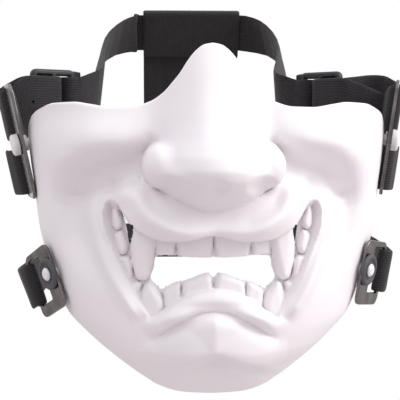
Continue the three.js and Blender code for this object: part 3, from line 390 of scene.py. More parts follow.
# the inner wall is what a ball of the wall's thickness, and a little more, can reach inside
STEP = 0.8
BALL = WALL + 0.3
gx = np.arange(-88, 88 + STEP, STEP)
gz = np.arange(-112, 46 + STEP, STEP)
GX, GZ = np.meshgrid(gx, gz)
sheet_reach = face_at(GX, GZ, base_at(GX, GZ))
inner_reach = np.full(GX.shape, 1e9)
span = int(BALL / STEP) + 1
for i in range(-span, span + 1):
    for j in range(-span, span + 1):
        d2 = (i * i + j * j) * STEP * STEP
        if d2 < BALL * BALL:
            moved = np.roll(sheet_reach, (i, j), axis=(0, 1))
            inner_reach = np.minimum(inner_reach, moved - math.sqrt(BALL * BALL - d2))


def inner_at(x, z):
    """Forward reach of the inner wall."""
    fx = np.clip((x - gx[0]) / STEP, 0, len(gx) - 1.001)
    fz = np.clip((z - gz[0]) / STEP, 0, len(gz) - 1.001)
    i, j = fx.astype(int), fz.astype(int)
    p, q = fx - i, fz - j
    low = inner_reach[j, i] * (1 - p) + inner_reach[j, i + 1] * p
    return low * (1 - q) + (inner_reach[j + 1, i] * (1 - p) + inner_reach[j + 1, i + 1] * p) * q


half_in = spread(65 // FINE + 1, ACROSS, "s")
s_inner = np.concatenate([-half_in[:0:-1], half_in])
v_inner = spread(116 // FINE + 1, UPWARD, "v")
inner_points, inner_faces = shell_side(s_inner, v_inner, WALL, inner_at)

points = [outer_points, inner_points]
faces = [outer_faces, inner_faces[:, ::-1] + len(outer_points)]
count = len(outer_points) + len(inner_points)
# a straight wall runs round each cut, and a rounded rim round the outside
rows, columns = len(v_outer), len(s_outer)
index = np.arange(rows * columns)
on_rim = (index % columns == 0) | (index % columns == columns - 1)
on_rim |= (index // columns == 0) | (index // columns == rows - 1)
for a, b in rim_of(outer_points, outer_faces):
    if on_rim[a] and on_rim[b]:
        continue
    pa, pb = outer_points[a], outer_points[b]
    back = [[p[0], -float(inner_at(p[0], p[2])), p[2]] for p in (pa, pb)]
    points.append(np.array([pa, pb, back[1], back[0]]))
    faces.append(np.array([[count + 1, count, count + 3, count + 2]]))
    count += 4
loop = np.concatenate([index[:columns], index[columns - 1::columns][1:],
                       index[(rows - 1) * columns:][::-1][1:], index[::columns][::-1][1:]])
ends = outer_points[loop]
S = np.concatenate([s_outer, np.ones(rows - 1), s_outer[::-1][1:], -np.ones(rows - 1)])
V = np.concatenate([np.zeros(columns), v_outer[1:], np.ones(columns - 1), v_outer[::-1][1:]])
ix, iz, irim = place(S, V, WALL)
iy = np.where(np.abs(S) > AT_SIDE, -irim, -np.maximum(inner_at(ix, iz), irim))
inside_ends = np.stack([ix, iy, iz], -1)
outward = np.stack([0 * S, np.abs(S) ** 8, np.where(V > 0.5, 1, -1) * (1 - np.abs(S) ** 8)], -1)
RIM_ROWS, RIM_BULGE = 7, 0.9
rim_rows = []
for k in range(RIM_ROWS):
    t = k / (RIM_ROWS - 1)
    bulge = RIM_BULGE * math.sin(math.pi * t) ** 0.6 if 0 < t < 1 else 0
    rim_rows.append(ends * (1 - t) + inside_ends * t + outward * bulge)
points.append(np.concatenate(rim_rows))
faces.append(grid_faces(RIM_ROWS, len(loop), count)[:, ::-1])

all_faces = [f for part in faces for f in part.tolist()]
shell = make_object("face_plate", np.concatenate(points), all_faces)
close_up(shell.data, 0.00004)
shell.data.set_sharp_from_angle(angle=math.radians(62))


def linear(code):
    """An sRGB hex colour as linear red, green, blue and one."""
    parts = [int(code[i:i + 2], 16) / 255 for i in (1, 3, 5)]
    return (*(c / 12.92 if c <= 0.04045 else ((c + 0.055) / 1.055) ** 2.4 for c in parts), 1.0)


def new_material(name):
    """A material and its surface shader."""
    made = bpy.data.materials.new(name)
    made.use_nodes = True
    return made, made.node_tree.nodes["Principled BSDF"]


def add_node(material, kind, settings=None, inputs=None):
    """Adds a node with its settings, and sets or links its inputs by name or number."""
    node = material.node_tree.nodes.new(kind)
    for key, value in (settings or {}).items():
        setattr(node, key, value)
    for key, value in (inputs or {}).items():
        if isinstance(value, bpy.types.NodeSocket):
            material.node_tree.links.new(value, node.inputs[key])
        else:
            node.inputs[key].default_value = value
    return node


def feed(surface, sockets):
    """Links sockets to a surface shader's inputs by name."""
    for key, socket in sockets.items():
        surface.id_data.links.new(socket, surface.inputs[key])


# moulded ABS: a matt white skin with a fine spark-eroded grain and faint flow shading
moulded_abs, surface = new_material("moulded_abs_white")
where = add_node(moulded_abs, "ShaderNodeTexCoord")
cloudy = add_node(moulded_abs, "ShaderNodeTexNoise", inputs={
    "Vector": where.outputs["Object"], "Scale": 1000 / 38.0, "Detail": 3.0, "Roughness": 0.55})
tone = add_node(moulded_abs, "ShaderNodeMix", {"data_type": "RGBA"}, {
    0: cloudy.outputs[0], 6: linear("#e4dfe1"), 7: linear("#f0edef")})
grain = add_node(moulded_abs, "ShaderNodeTexNoise", inputs={
    "Vector": where.outputs["Object"], "Scale": 1000 / 0.9, "Detail": 2.0, "Roughness": 0.6})
flow = add_node(moulded_abs, "ShaderNodeTexNoise", inputs={
    "Vector": where.outputs["Object"], "Scale": 1000 / 16.0, "Detail": 2.0, "Roughness": 0.5})
rough = add_node(moulded_abs, "ShaderNodeMapRange", inputs={
    "Value": flow.outputs[0], "To Min": 0.46, "To Max": 0.60})
wavy = add_node(moulded_abs, "ShaderNodeBump", inputs={
    "Strength": 0.25, "Distance": 0.0004, "Height": flow.outputs[0]})
skin = add_node(moulded_abs, "ShaderNodeBump", inputs={
    "Strength": 0.10, "Distance": 0.0001, "Height": grain.outputs[0], "Normal": wavy.outputs[0]})
feed(surface, {"Base Color": tone.outputs[2],
               "Roughness": rough.outputs[0],
               "Normal": skin.outputs[0]})
surface.inputs["IOR"].default_value = 1.53
shell.data.materials.append(moulded_abs)
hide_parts("mask_shell")
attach(shell, "root")

# ---------------------------------------------------------------------------------------
# Anchor plates: four stamped and polished steel plates, one at each rear corner. Each is
# held to the face plate by a stud and has slots that the elastic is folded through.
# ---------------------------------------------------------------------------------------
# at: the plate's middle on the stud's axis; lean, front, down and roll: its turns in degrees;
# shoulder and foot: how deep the stud's flange and its foot lie behind the plate
ANCHORS = {
    "upper_left": dict(side=-1, at=(-86.4, -8, -0.4), lean=12, front=14, down=0, roll=0,
                       shoulder=2.8, foot=-8.9),
    "upper_right": dict(side=1, at=(85.4, -8, 1.5), lean=8, front=12, down=0, roll=0,
                        shoulder=1.8, foot=-7.8),
    "lower_left": dict(side=-1, at=(-71.6, -24.6, -58.6), lean=0, front=35, down=8, roll=24,
                       shoulder=1.8, foot=-8.6),
    "lower_right": dict(side=1, at=(71.5, -24.7, -57.6), lean=0, front=35, down=8, roll=8,
                        shoulder=1.7, foot=-8.2),
}
PLATE_THICK = 1.5


def anchor_axes(side, at, lean, front, down, roll, **_):
    """Origin, and the directions to the rear, up and outwards, of a plate."""
    tip, ahead, turn = (math.radians(t) for t in (down + lean, front, roll))
    out = Vector((side * math.cos(tip) * math.cos(ahead), -math.cos(tip) * math.sin(ahead),
                  -math.sin(tip)))
    back = Vector((side * math.sin(ahead), math.cos(ahead), 0))
    up = out.cross(back) * side
    return (Vector(at), back * math.cos(turn) - up * math.sin(turn),
            up * math.cos(turn) + back * math.sin(turn), out)


FRAMES = {name: anchor_axes(**a) for name, a in ANCHORS.items()}


def on(axes, b, u, n):
    """A point b to the rear, u up and n outwards in a plate's axes."""
    o, back, up, out = axes
    return o + back * b + up * u + out * n


def rounded(b0, b1, u0, u1, r, parts=8):
    """A rectangle with rounded corners."""
    out = []
    corners = ((b1 - r, u0 + r, -90), (b1 - r, u1 - r, 0), (b0 + r, u1 - r, 90), (b0 + r, u0 + r, 180))
    for cb, cu, start in corners:
        for k in range(parts + 1):
            t = math.radians(start + 90 * k / parts)
            out.append((cb + r * math.cos(t), cu + r * math.sin(t)))
    return out


def circle(r, parts=32):
    turns = [2 * math.pi * k / parts for k in range(parts)]
    return [(r * math.cos(t), r * math.sin(t)) for t in turns]


def stamped(name, axes, outline, holes, thick, edge):
    """A flat plate with holes and rolled edges, laid in a plate's axes."""
    curve = bpy.data.curves.new(name, "CURVE")
    curve.dimensions = "2D"
    curve.fill_mode = "BOTH"
    for k, ring in enumerate([outline] + holes):
        ring = ring if k == 0 else ring[::-1]
        spline = curve.splines.new("POLY")
        spline.points.add(len(ring) - 1)
        for point, (b, u) in zip(spline.points, ring):
            point.co = (b / 1000, u / 1000, 0, 1)
        spline.use_cyclic_u = True
    curve.extrude = (thick / 2 - edge) / 1000
    curve.bevel_depth = edge / 1000
    curve.bevel_resolution = 2
    curve.offset = -edge / 1000
    rough_object = bpy.data.objects.new(name + "_outline", curve)
    bpy.context.scene.collection.objects.link(rough_object)
    graph = bpy.context.evaluated_depsgraph_get()
    mesh = bpy.data.meshes.new_from_object(rough_object.evaluated_get(graph))
    bpy.data.objects.remove(rough_object)
    o, back, up, out = axes
    hand = back.cross(up).dot(out)
    turn = Matrix((back, up, out * hand)).transposed().to_4x4()
    turn.translation = o / 1000
    mesh.transform(turn)
    mesh.name = name
    mesh.polygons.foreach_set("use_smooth", [True] * len(mesh.polygons))
    mesh.set_sharp_from_angle(angle=math.radians(50))
    made = bpy.data.objects.new(name, mesh)
    bpy.context.scene.collection.objects.link(made)
    return made


# polished steel: fine lengthwise polishing lines, and a colour that varies at random in patches, kept dark
# as a painted reflection of dark surroundings
polished_steel, surface = new_material("polished_stamped_steel")
where = add_node(polished_steel, "ShaderNodeTexCoord")
streak = add_node(polished_steel, "ShaderNodeMapping", inputs={
    "Vector": where.outputs["Object"], "Scale": (1.0, 1.0, 0.12)})
lines = add_node(polished_steel, "ShaderNodeTexNoise", inputs={
    "Vector": streak.outputs[0], "Scale": 1000 / 0.5, "Detail": 2.0})
patches_of_dark_reflection = add_node(polished_steel, "ShaderNodeTexNoise", inputs={
    "Vector": where.outputs["Object"], "Scale": 1000 / 7.0, "Detail": 3.0})
# painted reflection: the metal colour runs from near black to mid grey, darker than bare steel, to stand in
# for dark surroundings
tone = add_node(polished_steel, "ShaderNodeMix", {"data_type": "RGBA"}, {
    0: patches_of_dark_reflection.outputs[0], 6: linear("#2f2b2a"), 7: linear("#9d9998")})
rough = add_node(polished_steel, "ShaderNodeMapRange", inputs={
    "Value": lines.outputs[0], "To Min": 0.16, "To Max": 0.38})
drawn = add_node(polished_steel, "ShaderNodeBump", inputs={
    "Strength": 0.12, "Distance": 0.0001, "Height": lines.outputs[0]})
feed(surface, {"Base Color": tone.outputs[2],
               "Roughness": rough.outputs[0],
               "Normal": drawn.outputs[0]})
surface.inputs["Metallic"].default_value = 1.0

STUD_HOLE, SLOT_CORNER, ROLLED_EDGE = 2.6, 0.8, 0.35
for name, axes in FRAMES.items():
    if name.startswith("upper"):
        outline = rounded(-8, 15.5, -26, 28, 5)
        holes = [circle(STUD_HOLE), rounded(7.3, 11.8, 1, 26.2, SLOT_CORNER, 4),
                 rounded(7.3, 11.8, -25, -1.9, SLOT_CORNER, 4)]
    else:
        outline = rounded(-4.6, 19.6, -16.5, 13.5, 4)
        holes = [circle(STUD_HOLE), rounded(5.4, 17.1, -10.8, 10.8, SLOT_CORNER, 4)]
    plate = stamped("anchor_plate_" + name, axes, outline, holes, PLATE_THICK, ROLLED_EDGE)
    plate.data.materials.append(polished_steel)
    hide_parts("anchor_" + name)
    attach(plate, "root")

# ---------------------------------------------------------------------------------------
# Studs: white nylon snap rivets that go through each plate and the face plate's wall.
# A flange between them keeps the plate off the shell, so that it can swing a little.
# ---------------------------------------------------------------------------------------


def turned(name, axes, profile, parts=48):
    """A closed form turned about a plate's outward axis, from radius and height pairs."""
    o, back, up, out = axes
    side = back.cross(out)
    points, faces = [], []
    for k in range(parts):
        t = 2 * math.pi * k / parts
        across = back * math.cos(t) + side * math.sin(t)
        points += [o + across * r + out * n for r, n in profile]
    m = len(profile)
    for k in range(parts):
        for i in range(m - 1):
            a, b = k * m + i, ((k + 1) % parts) * m + i
            faces.append((a, b, b + 1, a + 1))
    made = make_object(name, [tuple(p) for p in points], faces)
    close_up(made.data, 0.00001)
    made.data.set_sharp_from_angle(angle=math.radians(55))
    return made


def eased(profile, r=0.35, parts=4):
    """The same profile with its corners rounded."""
    out = [profile[0]]
    for p, q, s in zip(profile, profile[1:], profile[2:]):
        before, after = Vector(p) - Vector(q), Vector(s) - Vector(q)
        cut = min(r, 0.45 * before.length, 0.45 * after.length)
        a, c = Vector(q) + before.normalized() * cut, Vector(q) + after.normalized() * cut
        for k in range(parts + 1):
            t = k / parts
            out.append(tuple(a * (1 - t) ** 2 + Vector(q) * 2 * t * (1 - t) + c * t * t))
    return out + [profile[-1]]


# nylon 6: milky white with a soft sheen and faint moulding scuffs
nylon, surface = new_material("moulded_nylon_white")
where = add_node(nylon, "ShaderNodeTexCoord")
scuff = add_node(nylon, "ShaderNodeTexNoise", inputs={
    "Vector": where.outputs["Object"], "Scale": 1000 / 1.6, "Detail": 4.0})
tone = add_node(nylon, "ShaderNodeMix", {"data_type": "RGBA"}, {
    0: scuff.outputs[0], 6: linear("#d3d0d1"), 7: linear("#efedee")})
rough = add_node(nylon, "ShaderNodeMapRange", inputs={
    "Value": scuff.outputs[0], "To Min": 0.34, "To Max": 0.55})
dents = add_node(nylon, "ShaderNodeBump", inputs={
    "Strength": 0.15, "Distance": 0.0001, "Height": scuff.outputs[0]})
feed(surface, {"Base Color": tone.outputs[2],
               "Roughness": rough.outputs[0],
               "Normal": dents.outputs[0]})
surface.inputs["IOR"].default_value = 1.53

SHANK = 2.2
for name, axes in FRAMES.items():
    a = ANCHORS[name]
    head, top, seat = (5, 4.6, 1.1) if name.startswith("upper") else (3, 3.6, 2.1)
    profile = [(0, a["foot"] - 1.5), (3.3, a["foot"] - 1.5), (3.3, a["foot"]), (SHANK, a["foot"]),
               (SHANK, -a["shoulder"]), (3.7, -a["shoulder"]), (3.7, -1.1), (SHANK, -1.1), (SHANK, seat),
               (head, seat), (head, top - 0.8), (head - 1, top), (0, top)]
    stud = turned("stud_" + name + "_rivet", axes, eased(profile))
    stud.data.materials.append(nylon)
    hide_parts("stud_" + name)
    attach(stud, "root")

# ---------------------------------------------------------------------------------------
# Dished washers: a dark moulded rubber ring with a raised edge sits under the head of each
# lower stud, and presses the plate against the stud's flange.
# ---------------------------------------------------------------------------------------
# nitrile rubber: dark grey, dry, with a faint dusting
rubber, surface = new_material("moulded_nitrile_rubber")
where = add_node(rubber, "ShaderNodeTexCoord")
dust = add_node(rubber, "ShaderNodeTexNoise", inputs={
    "Vector": where.outputs["Object"], "Scale": 1000 / 1.2, "Detail": 5.0, "Roughness": 0.65})
tone = add_node(rubber, "ShaderNodeMix", {"data_type": "RGBA"}, {
    0: dust.outputs[0], 6: linear("#38383b"), 7: linear("#55555a")})
fuzz = add_node(rubber, "ShaderNodeBump", inputs={
    "Strength": 0.3, "Distance": 0.0001, "Height": dust.outputs[0]})
feed(surface, {"Base Color": tone.outputs[2], "Normal": fuzz.outputs[0]})
surface.inputs["Roughness"].default_value = 0.62

DISH = [(2.6, 1.05), (7.4, 1.05), (7.4, 2), (6.7, 2.7), (5.6, 2.7), (4.8, 1.8), (2.6, 1.8), (2.6, 1.05)]
for name in ("lower_left", "lower_right"):
    washer = turned("dished_washer_" + name, FRAMES[name], eased(DISH, 0.3), 64)
    washer.data.materials.append(rubber)
    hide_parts("washer_" + name)
    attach(washer, "root")

# ---------------------------------------------------------------------------------------
# Sliders: two black nylon strap adjusters with three bars and a ribbed thumb tab. The
# head strap is sewn round the middle bar and woven back through both openings.
# ---------------------------------------------------------------------------------------
# at: the slider's middle; heading: the way that its strap leaves it, in degrees
SLIDERS = {
    "left": dict(side=-1, at=(-75.5, 31, 20.5), heading=38),
    "right": dict(side=1, at=(59.4, 31, 19.5), heading=134),
}
SLIDER_FRAMES = {}
for name, s in SLIDERS.items():
    turn = math.radians(s["heading"])
    along, up = Vector((math.cos(turn), math.sin(turn), 0)), Vector((0, 0, 1))
    SLIDER_FRAMES[name] = (Vector(s["at"]), along, up, along.cross(up) * -s["side"])

# glass-filled nylon: satin black with a faint mottle
black_nylon, surface = new_material("glass_filled_nylon_black")
where = add_node(black_nylon, "ShaderNodeTexCoord")
mottle = add_node(black_nylon, "ShaderNodeTexNoise", inputs={
    "Vector": where.outputs["Object"], "Scale": 1000 / 2.2, "Detail": 4.0})
tone = add_node(black_nylon, "ShaderNodeMix", {"data_type": "RGBA"}, {
    0: mottle.outputs[0], 6: linear("#121213"), 7: linear("#29292c")})
rough = add_node(black_nylon, "ShaderNodeMapRange", inputs={
    "Value": mottle.outputs[0], "To Min": 0.28, "To Max": 0.5})
pits = add_node(black_nylon, "ShaderNodeBump", inputs={
    "Strength": 0.12, "Distance": 0.0001, "Height": mottle.outputs[0]})
feed(surface, {"Base Color": tone.outputs[2],
               "Roughness": rough.outputs[0],
               "Normal": pits.outputs[0]})

# thumb tab's section: along the strap and outwards, with two grip ribs near its end
THUMB = [(11, 1.2), (11, -1.6), (13.5, -2.4), (16.8, -4.6), (19.6, -7.2), (21.4, -7.0), (20.6, -5.6),
         (19.4, -5.2), (19, -4.2), (17.8, -3.8), (17.4, -2.8), (15.6, -1.4), (13.4, 0.4)]
THUMB_LEVELS = (-15, -14.4, 14.4, 15)
SLIDER_THICK, SLIDER_EDGE = 3.6, 1.2
for name, axes in SLIDER_FRAMES.items():
    o, along, up, out = axes
    openings = [rounded(-9.6, -1.6, -12.3, 12.3, 0.3, 3), rounded(1.6, 9.4, -12.3, 12.3, 0.3, 3)]
    slider = stamped("slider_" + name + "_frame", axes, rounded(-12.5, 12.5, -15.6, 15.6, 3),
                     openings, SLIDER_THICK, SLIDER_EDGE)
    ring = eased(THUMB + THUMB[:2], 0.5, 3)[1:-1]
    n = len(ring)
    points = [tuple(o + along * p + out * q + up * u) for u in THUMB_LEVELS for p, q in ring]
    # its two end faces are drawn in a little, so that their edges are rounded
    centre = Vector((sum(p for p, _ in ring) / n, sum(q for _, q in ring) / n))
    for k in (0, 3):
        for i, (p, q) in enumerate(ring):
            d = (Vector((p, q)) - centre).normalized() * 0.5
            points[k * n + i] = tuple(o + along * (p - d.x) + out * (q - d.y) + up * THUMB_LEVELS[k])
    faces = [(k * n + i, k * n + (i + 1) % n, (k + 1) * n + (i + 1) % n, (k + 1) * n + i)
             for k in range(3) for i in range(n)]
    faces += [tuple(range(n))[::-1], tuple(range(3 * n, 4 * n))]
    thumb = make_object("slider_" + name + "_thumb_tab", points, faces)
    close_up(thumb.data)
    thumb.data.set_sharp_from_angle(angle=math.radians(40))
    for piece in (slider, thumb):
        piece.data.materials.append(black_nylon)
        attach(piece, "root")
    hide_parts("slider_" + name)

# ---------------------------------------------------------------------------------------
# Head strap: one length of black braided elastic, 24 mm wide. Each end is sewn round a
# slider's middle bar, goes through an anchor and back through the slider, then over the
# crown.
# ---------------------------------------------------------------------------------------
STRAP_WIDE = 24
STRAP_THICK = 1.6


def route(rows, parts):
    """Stations through rows of a point, an up direction and how many parts follow it."""
    data = np.array([[*p, *u] for p, u, _ in rows], float)
    out = []
    for i in range(len(rows) - 1):
        a, b, c, d = data[[max(i - 1, 0), i, i + 1, min(i + 2, len(rows) - 1)]]
        for t in np.arange(rows[i][2] or parts) / (rows[i][2] or parts):
            out.append(0.5 * (2 * b + (c - a) * t + (2 * a - 5 * b + 4 * c - d) * t * t
                              + (3 * b - a - 3 * c + d) * t ** 3))
    return np.array(out + [data[-1]])


def eased_route(stations, step, soft):
    """The stations at even steps, with their corners eased."""
    run = np.concatenate([[0], np.cumsum(np.linalg.norm(np.diff(stations[:, :3], axis=0), axis=1))])
    at = np.linspace(0, run[-1], int(run[-1] / step) + 1)
    even = np.stack([np.interp(at, run, stations[:, k]) for k in range(6)], -1)
    weights = np.exp(-((np.arange(-6, 7) * step / soft) ** 2))
    weights /= weights.sum()
    pad = np.concatenate([2 * even[0] - even[6:0:-1], even, 2 * even[-1] - even[-2:-8:-1]])
    return np.stack([np.convolve(pad[:, k], weights, "valid") for k in range(6)], -1), at


def webbing(name, rows, wide, thick, parts=2, step=1.0, soft=1.3):
    """A band of elastic along a route, with a soft selvedge, and its weave laid out in UV."""
    path, at = eased_route(route(rows, parts), step, soft)
    p = path[:, :3]
    along = np.gradient(p, axis=0)
    along /= np.linalg.norm(along, axis=1, keepdims=True)
    up = path[:, 3:] - along * (path[:, 3:] * along).sum(1, keepdims=True)
    up /= np.linalg.norm(up, axis=1, keepdims=True)
    out = np.cross(along, up)
    h, e = wide / 2, thick / 2
    across = [-h + 0.9, -h + 2.2, -h * 0.5, 0, h * 0.5, h - 2.2, h - 0.9]
    fullness = [0.86, 0.94, 1, 1, 1, 0.94, 0.86]
    section = [(u, e * r) for u, r in zip(across, fullness)]
    section += [(h - 0.25, e * 0.55), (h, 0), (h - 0.25, -e * 0.55)]
    section += [(u, -e * r) for u, r in zip(across[::-1], fullness)]
    section += [(-h + 0.25, -e * 0.55), (-h, 0), (-h + 0.25, e * 0.55)]
    m, n = len(section), len(p)
    points = (p[:, None, :] + up[:, None, :] * np.array([u for u, _ in section])[None, :, None]
              + out[:, None, :] * np.array([v for _, v in section])[None, :, None]).reshape(-1, 3)
    faces, uvs = [], []
    for i in range(n - 1):
        for k in range(m):
            j = (k + 1) % m
            faces.append((i * m + k, i * m + j, (i + 1) * m + j, (i + 1) * m + k))
            ua, ub = section[k][0] + h, section[j][0] + h
            uvs += [(ua, at[i]), (ub, at[i]), (ub, at[i + 1]), (ua, at[i + 1])]
    for ring in (list(range(m))[::-1], list(range((n - 1) * m, n * m))):
        faces.append(tuple(ring))
        uvs += [(section[k % m][0] + h, at[0] if ring[0] < m else at[-1]) for k in ring]
    made = make_object(name, points, faces)
    layer = made.data.uv_layers.new(name="weave_mm")
    layer.data.foreach_set("uv", np.array(uvs, np.float32).ravel())
    made.data.set_sharp_from_angle(angle=math.radians(60))
    return made


# braided polyester elastic: matt near-black, with raised ribs 1.2 mm apart along its length
# and fine cross picks; real picks are 0.5 mm, drawn at 0.9 mm so that they show
elastic, surface = new_material("braided_elastic_black")
weave = add_node(elastic, "ShaderNodeUVMap", {"uv_map": "weave_mm"})
split = add_node(elastic, "ShaderNodeSeparateXYZ", inputs={0: weave.outputs[0]})
ribs = add_node(elastic, "ShaderNodeMath", {"operation": "MULTIPLY"}, {
    0: split.outputs[0], 1: 2 * math.pi / 1.2})
ribs = add_node(elastic, "ShaderNodeMath", {"operation": "SINE"}, {0: ribs.outputs[0]})
picks = add_node(elastic, "ShaderNodeMath", {"operation": "MULTIPLY"}, {
    0: split.outputs[1], 1: 2 * math.pi / 0.9})
slant = add_node(elastic, "ShaderNodeMath", {"operation": "MULTIPLY_ADD"}, {
    0: split.outputs[0], 1: 2 * math.pi / 2.4, 2: picks.outputs[0]})
picks = add_node(elastic, "ShaderNodeMath", {"operation": "SINE"}, {0: slant.outputs[0]})
height = add_node(elastic, "ShaderNodeMath", {"operation": "MULTIPLY_ADD"}, {
    0: picks.outputs[0], 1: 0.45, 2: ribs.outputs[0]})
level = add_node(elastic, "ShaderNodeMapRange", inputs={
    "Value": height.outputs[0], "From Min": -1.45, "From Max": 1.45})
where = add_node(elastic, "ShaderNodeTexCoord")
lint = add_node(elastic, "ShaderNodeTexNoise", inputs={
    "Vector": where.outputs["Object"], "Scale": 1000 / 5.0, "Detail": 5.0, "Roughness": 0.7})
# painted shade: the weave's grooves are coloured darker and its raised ribs lighter, broken up at random by
# lint noise
groove_shade_and_lint = add_node(elastic, "ShaderNodeMath", {"operation": "MULTIPLY"}, {
    0: level.outputs[0], 1: lint.outputs[0]})
tone = add_node(elastic, "ShaderNodeMix", {"data_type": "RGBA"}, {
    0: groove_shade_and_lint.outputs[0], 6: linear("#0f0e10"), 7: linear("#3a3538")})
knit = add_node(elastic, "ShaderNodeBump", inputs={
    "Strength": 0.7, "Distance": 0.00025, "Height": level.outputs[0]})
feed(surface, {"Base Color": tone.outputs[2], "Normal": knit.outputs[0]})
surface.inputs["Roughness"].default_value = 0.88
surface.inputs["Sheen Weight"].default_value = 0.12
surface.inputs["Sheen Roughness"].default_value = 0.4


def finish_webbing(piece, *nodes):
    """Gives a band its elastic, and the place of its solids."""
    piece.data.materials.append(elastic)
    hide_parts(*nodes)
    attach(piece, "root")


def strap_end(slider, anchor, sag, *outside):
    """Sewn end, out to the anchor inside, back outside, and through the slider."""
    def s(b, n, parts):
        return on(slider, b, 0, n), slider[2], parts

    def a(b, u, n, parts):
        return on(anchor, b, u, n), anchor[2], parts

    return [
        s(-1.5, -3.2, 1), s(1.2, -3.2, 1), s(3.2, -2.2, 1), s(3.8, 0, 1), s(3.2, 2.4, 1), s(1, 3.4, 1),
        s(-6, 4.8, 1), s(-12.5, 5.8, 1), s(-16, 5.6, 1),
        a(22, 13 - sag, -4.4, 1), a(14.5, 13.5, -2.9, 1), a(11.3, 13.6, -2.4, 1), a(9.5, 13.6, 0, 1),
        a(11.3, 13.6, 2.4, 1), a(14.5, 13.6, 3, 1), *outside,
        s(-16, 2.8, 1), s(-11.5, 3.1, 1), s(-9.2, 3, 1), s(-7.6, 1.2, 1), s(-6.4, -1.6, 1),
        s(-5, -4.2, 1), s(-2.4, -5.4, 1), s(2.4, -5.4, 1), s(4.8, -4.9, 1), s(6.4, -2.6, 1),
        s(7.2, 0.3, 1), s(8.6, 2.6, 1), s(10.8, 3.1, 1), s(15, 2.9, 2)]


# rows: a point, the strap's up direction there, and the parts to the next row (0 for two)
LEAN = (0, -0.5, 0.87)
CROWN = [
    ((-56.5, 47, 23.5), (0.05, 0, 1), 0), ((-53.2, 58, 27), (0.1, -0.25, 1), 0),
    ((-53.5, 78, 34), (0.16, -0.4, 0.9), 0), ((-56, 105, 44), (0.25, -0.42, 0.88), 0),
    ((-54, 132, 54), (0.3, -0.42, 0.86), 0), ((-46, 154, 62.5), (0.25, -0.45, 0.86), 0),
    ((-36, 166.5, 66.4), LEAN, 2), ((-31.5, 169.6, 67), LEAN, 1), ((28.5, 169.6, 67), LEAN, 1),
    ((33, 166.5, 66.4), LEAN, 0), ((43, 154, 62.5), (-0.25, -0.45, 0.86), 0),
    ((48.5, 132, 54), (-0.3, -0.42, 0.86), 0), ((48.5, 105, 43.5), (-0.25, -0.42, 0.88), 0),
    ((43.5, 78, 33), (-0.16, -0.4, 0.9), 0), ((39.6, 58, 26), (-0.1, -0.25, 1), 0),
    ((41, 47, 22.5), (-0.05, 0, 1), 0),
]
left_end = strap_end(SLIDER_FRAMES["left"], FRAMES["upper_left"], 5,
                     (on(FRAMES["upper_left"], 20, 14, 3.4), FRAMES["upper_left"][2], 2))
right_end = strap_end(SLIDER_FRAMES["right"], FRAMES["upper_right"], 4,
                      ((90, 15.5, 18.2), (0.12, 0.1, 1), 1), ((86.4, 21.6, 21.3), (0.05, 0.1, 1), 1),
                      ((79, 22.4, 20.8), (0, 0, 1), 2))
head_strap = webbing("head_strap", left_end + CROWN + right_end[::-1], STRAP_WIDE, STRAP_THICK)
finish_webbing(head_strap, "upper_strap")

# ---------------------------------------------------------------------------------------
# Neck strap: the same elastic, once round below the ears. Each end is folded through a
# lower anchor's slot and sewn down on the inside.
# ---------------------------------------------------------------------------------------


def folded_end(anchor, *inner):
    """The stitched end inside, and the fold through the anchor's slot to the outside."""
    def a(b, n, parts):
        return on(anchor, b, 0, n), anchor[2], parts

    return [*inner, a(21.5, -2, 1), a(18, -2.1, 1), a(16.6, -1.6, 1), a(15.8, 0, 1), a(16.6, 1.6, 1),
            a(18, 2.2, 1), a(22.5, 2.2, 2)]


NECK_WIDE = 20
UP = (0, 0, 1)
NECK = [
    ((-86.7, 6, -69.8), (-0.42, 0.2, 1), 0), ((-86.8, 20, -69.8), (-0.3, 0.15, 1), 0),
    ((-84.2, 60, -68.6), (-0.1, 0, 1), 0), ((-76, 105, -65.6), UP, 0), ((-60, 142, -63.4), UP, 0),
    ((-42, 162, -62.7), UP, 2),
    ((-31.5, 168, -62.7), UP, 1), ((28.5, 168, -62.7), UP, 1), ((38, 162, -62.7), UP, 2),
    ((57, 142, -61.8), UP, 0), ((75, 105, -60), UP, 0), ((83.4, 70, -58.4), UP, 0),
    ((87, 45, -58.6), UP, 0), ((88.2, 20, -60.2), (0.05, 0.05, 1), 0),
    ((88.3, 7, -61.4), (0.12, 0.1, 1), 0),
]
left_end = folded_end(FRAMES["lower_left"], ((-83.8, 31, -69.5), (-0.25, 0.15, 1), 1),
                      ((-84.4, 19, -69.8), (-0.3, 0.15, 1), 1), ((-83.9, 6, -69.6), (-0.42, 0.2, 1), 1))
right_end = folded_end(FRAMES["lower_right"], ((85.3, 31, -59.6), (0.03, 0.05, 1), 1),
                       ((85.7, 19, -60.4), (0.05, 0.05, 1), 1), ((85.2, 7, -61.4), (0.12, 0.1, 1), 1))
neck_strap = webbing("neck_strap", left_end + NECK + right_end[::-1], NECK_WIDE, STRAP_THICK)
finish_webbing(neck_strap, "lower_strap")

# ---------------------------------------------------------------------------------------
# Back band: a 60 mm band of the same elastic down the back of the head. Its top is folded
# forwards over the head strap and its foot round the neck strap, and both are sewn.
# ---------------------------------------------------------------------------------------
BAND_WIDE = 60
CROWN_MIDDLE = Vector((-1.5, 169.6, 67))


def over(s, n, parts):
    """A row of the fold over the head strap, s up and n forwards from the strap's middle."""
    at = CROWN_MIDDLE + Vector((0, -0.498, 0.867)) * s + Vector((0, -0.867, -0.498)) * n
    return at, (1, 0, 0), parts


def down(y, z, parts):
    """A row on the band's way down."""
    return (-1.5, y, z), (1, 0, 0), parts


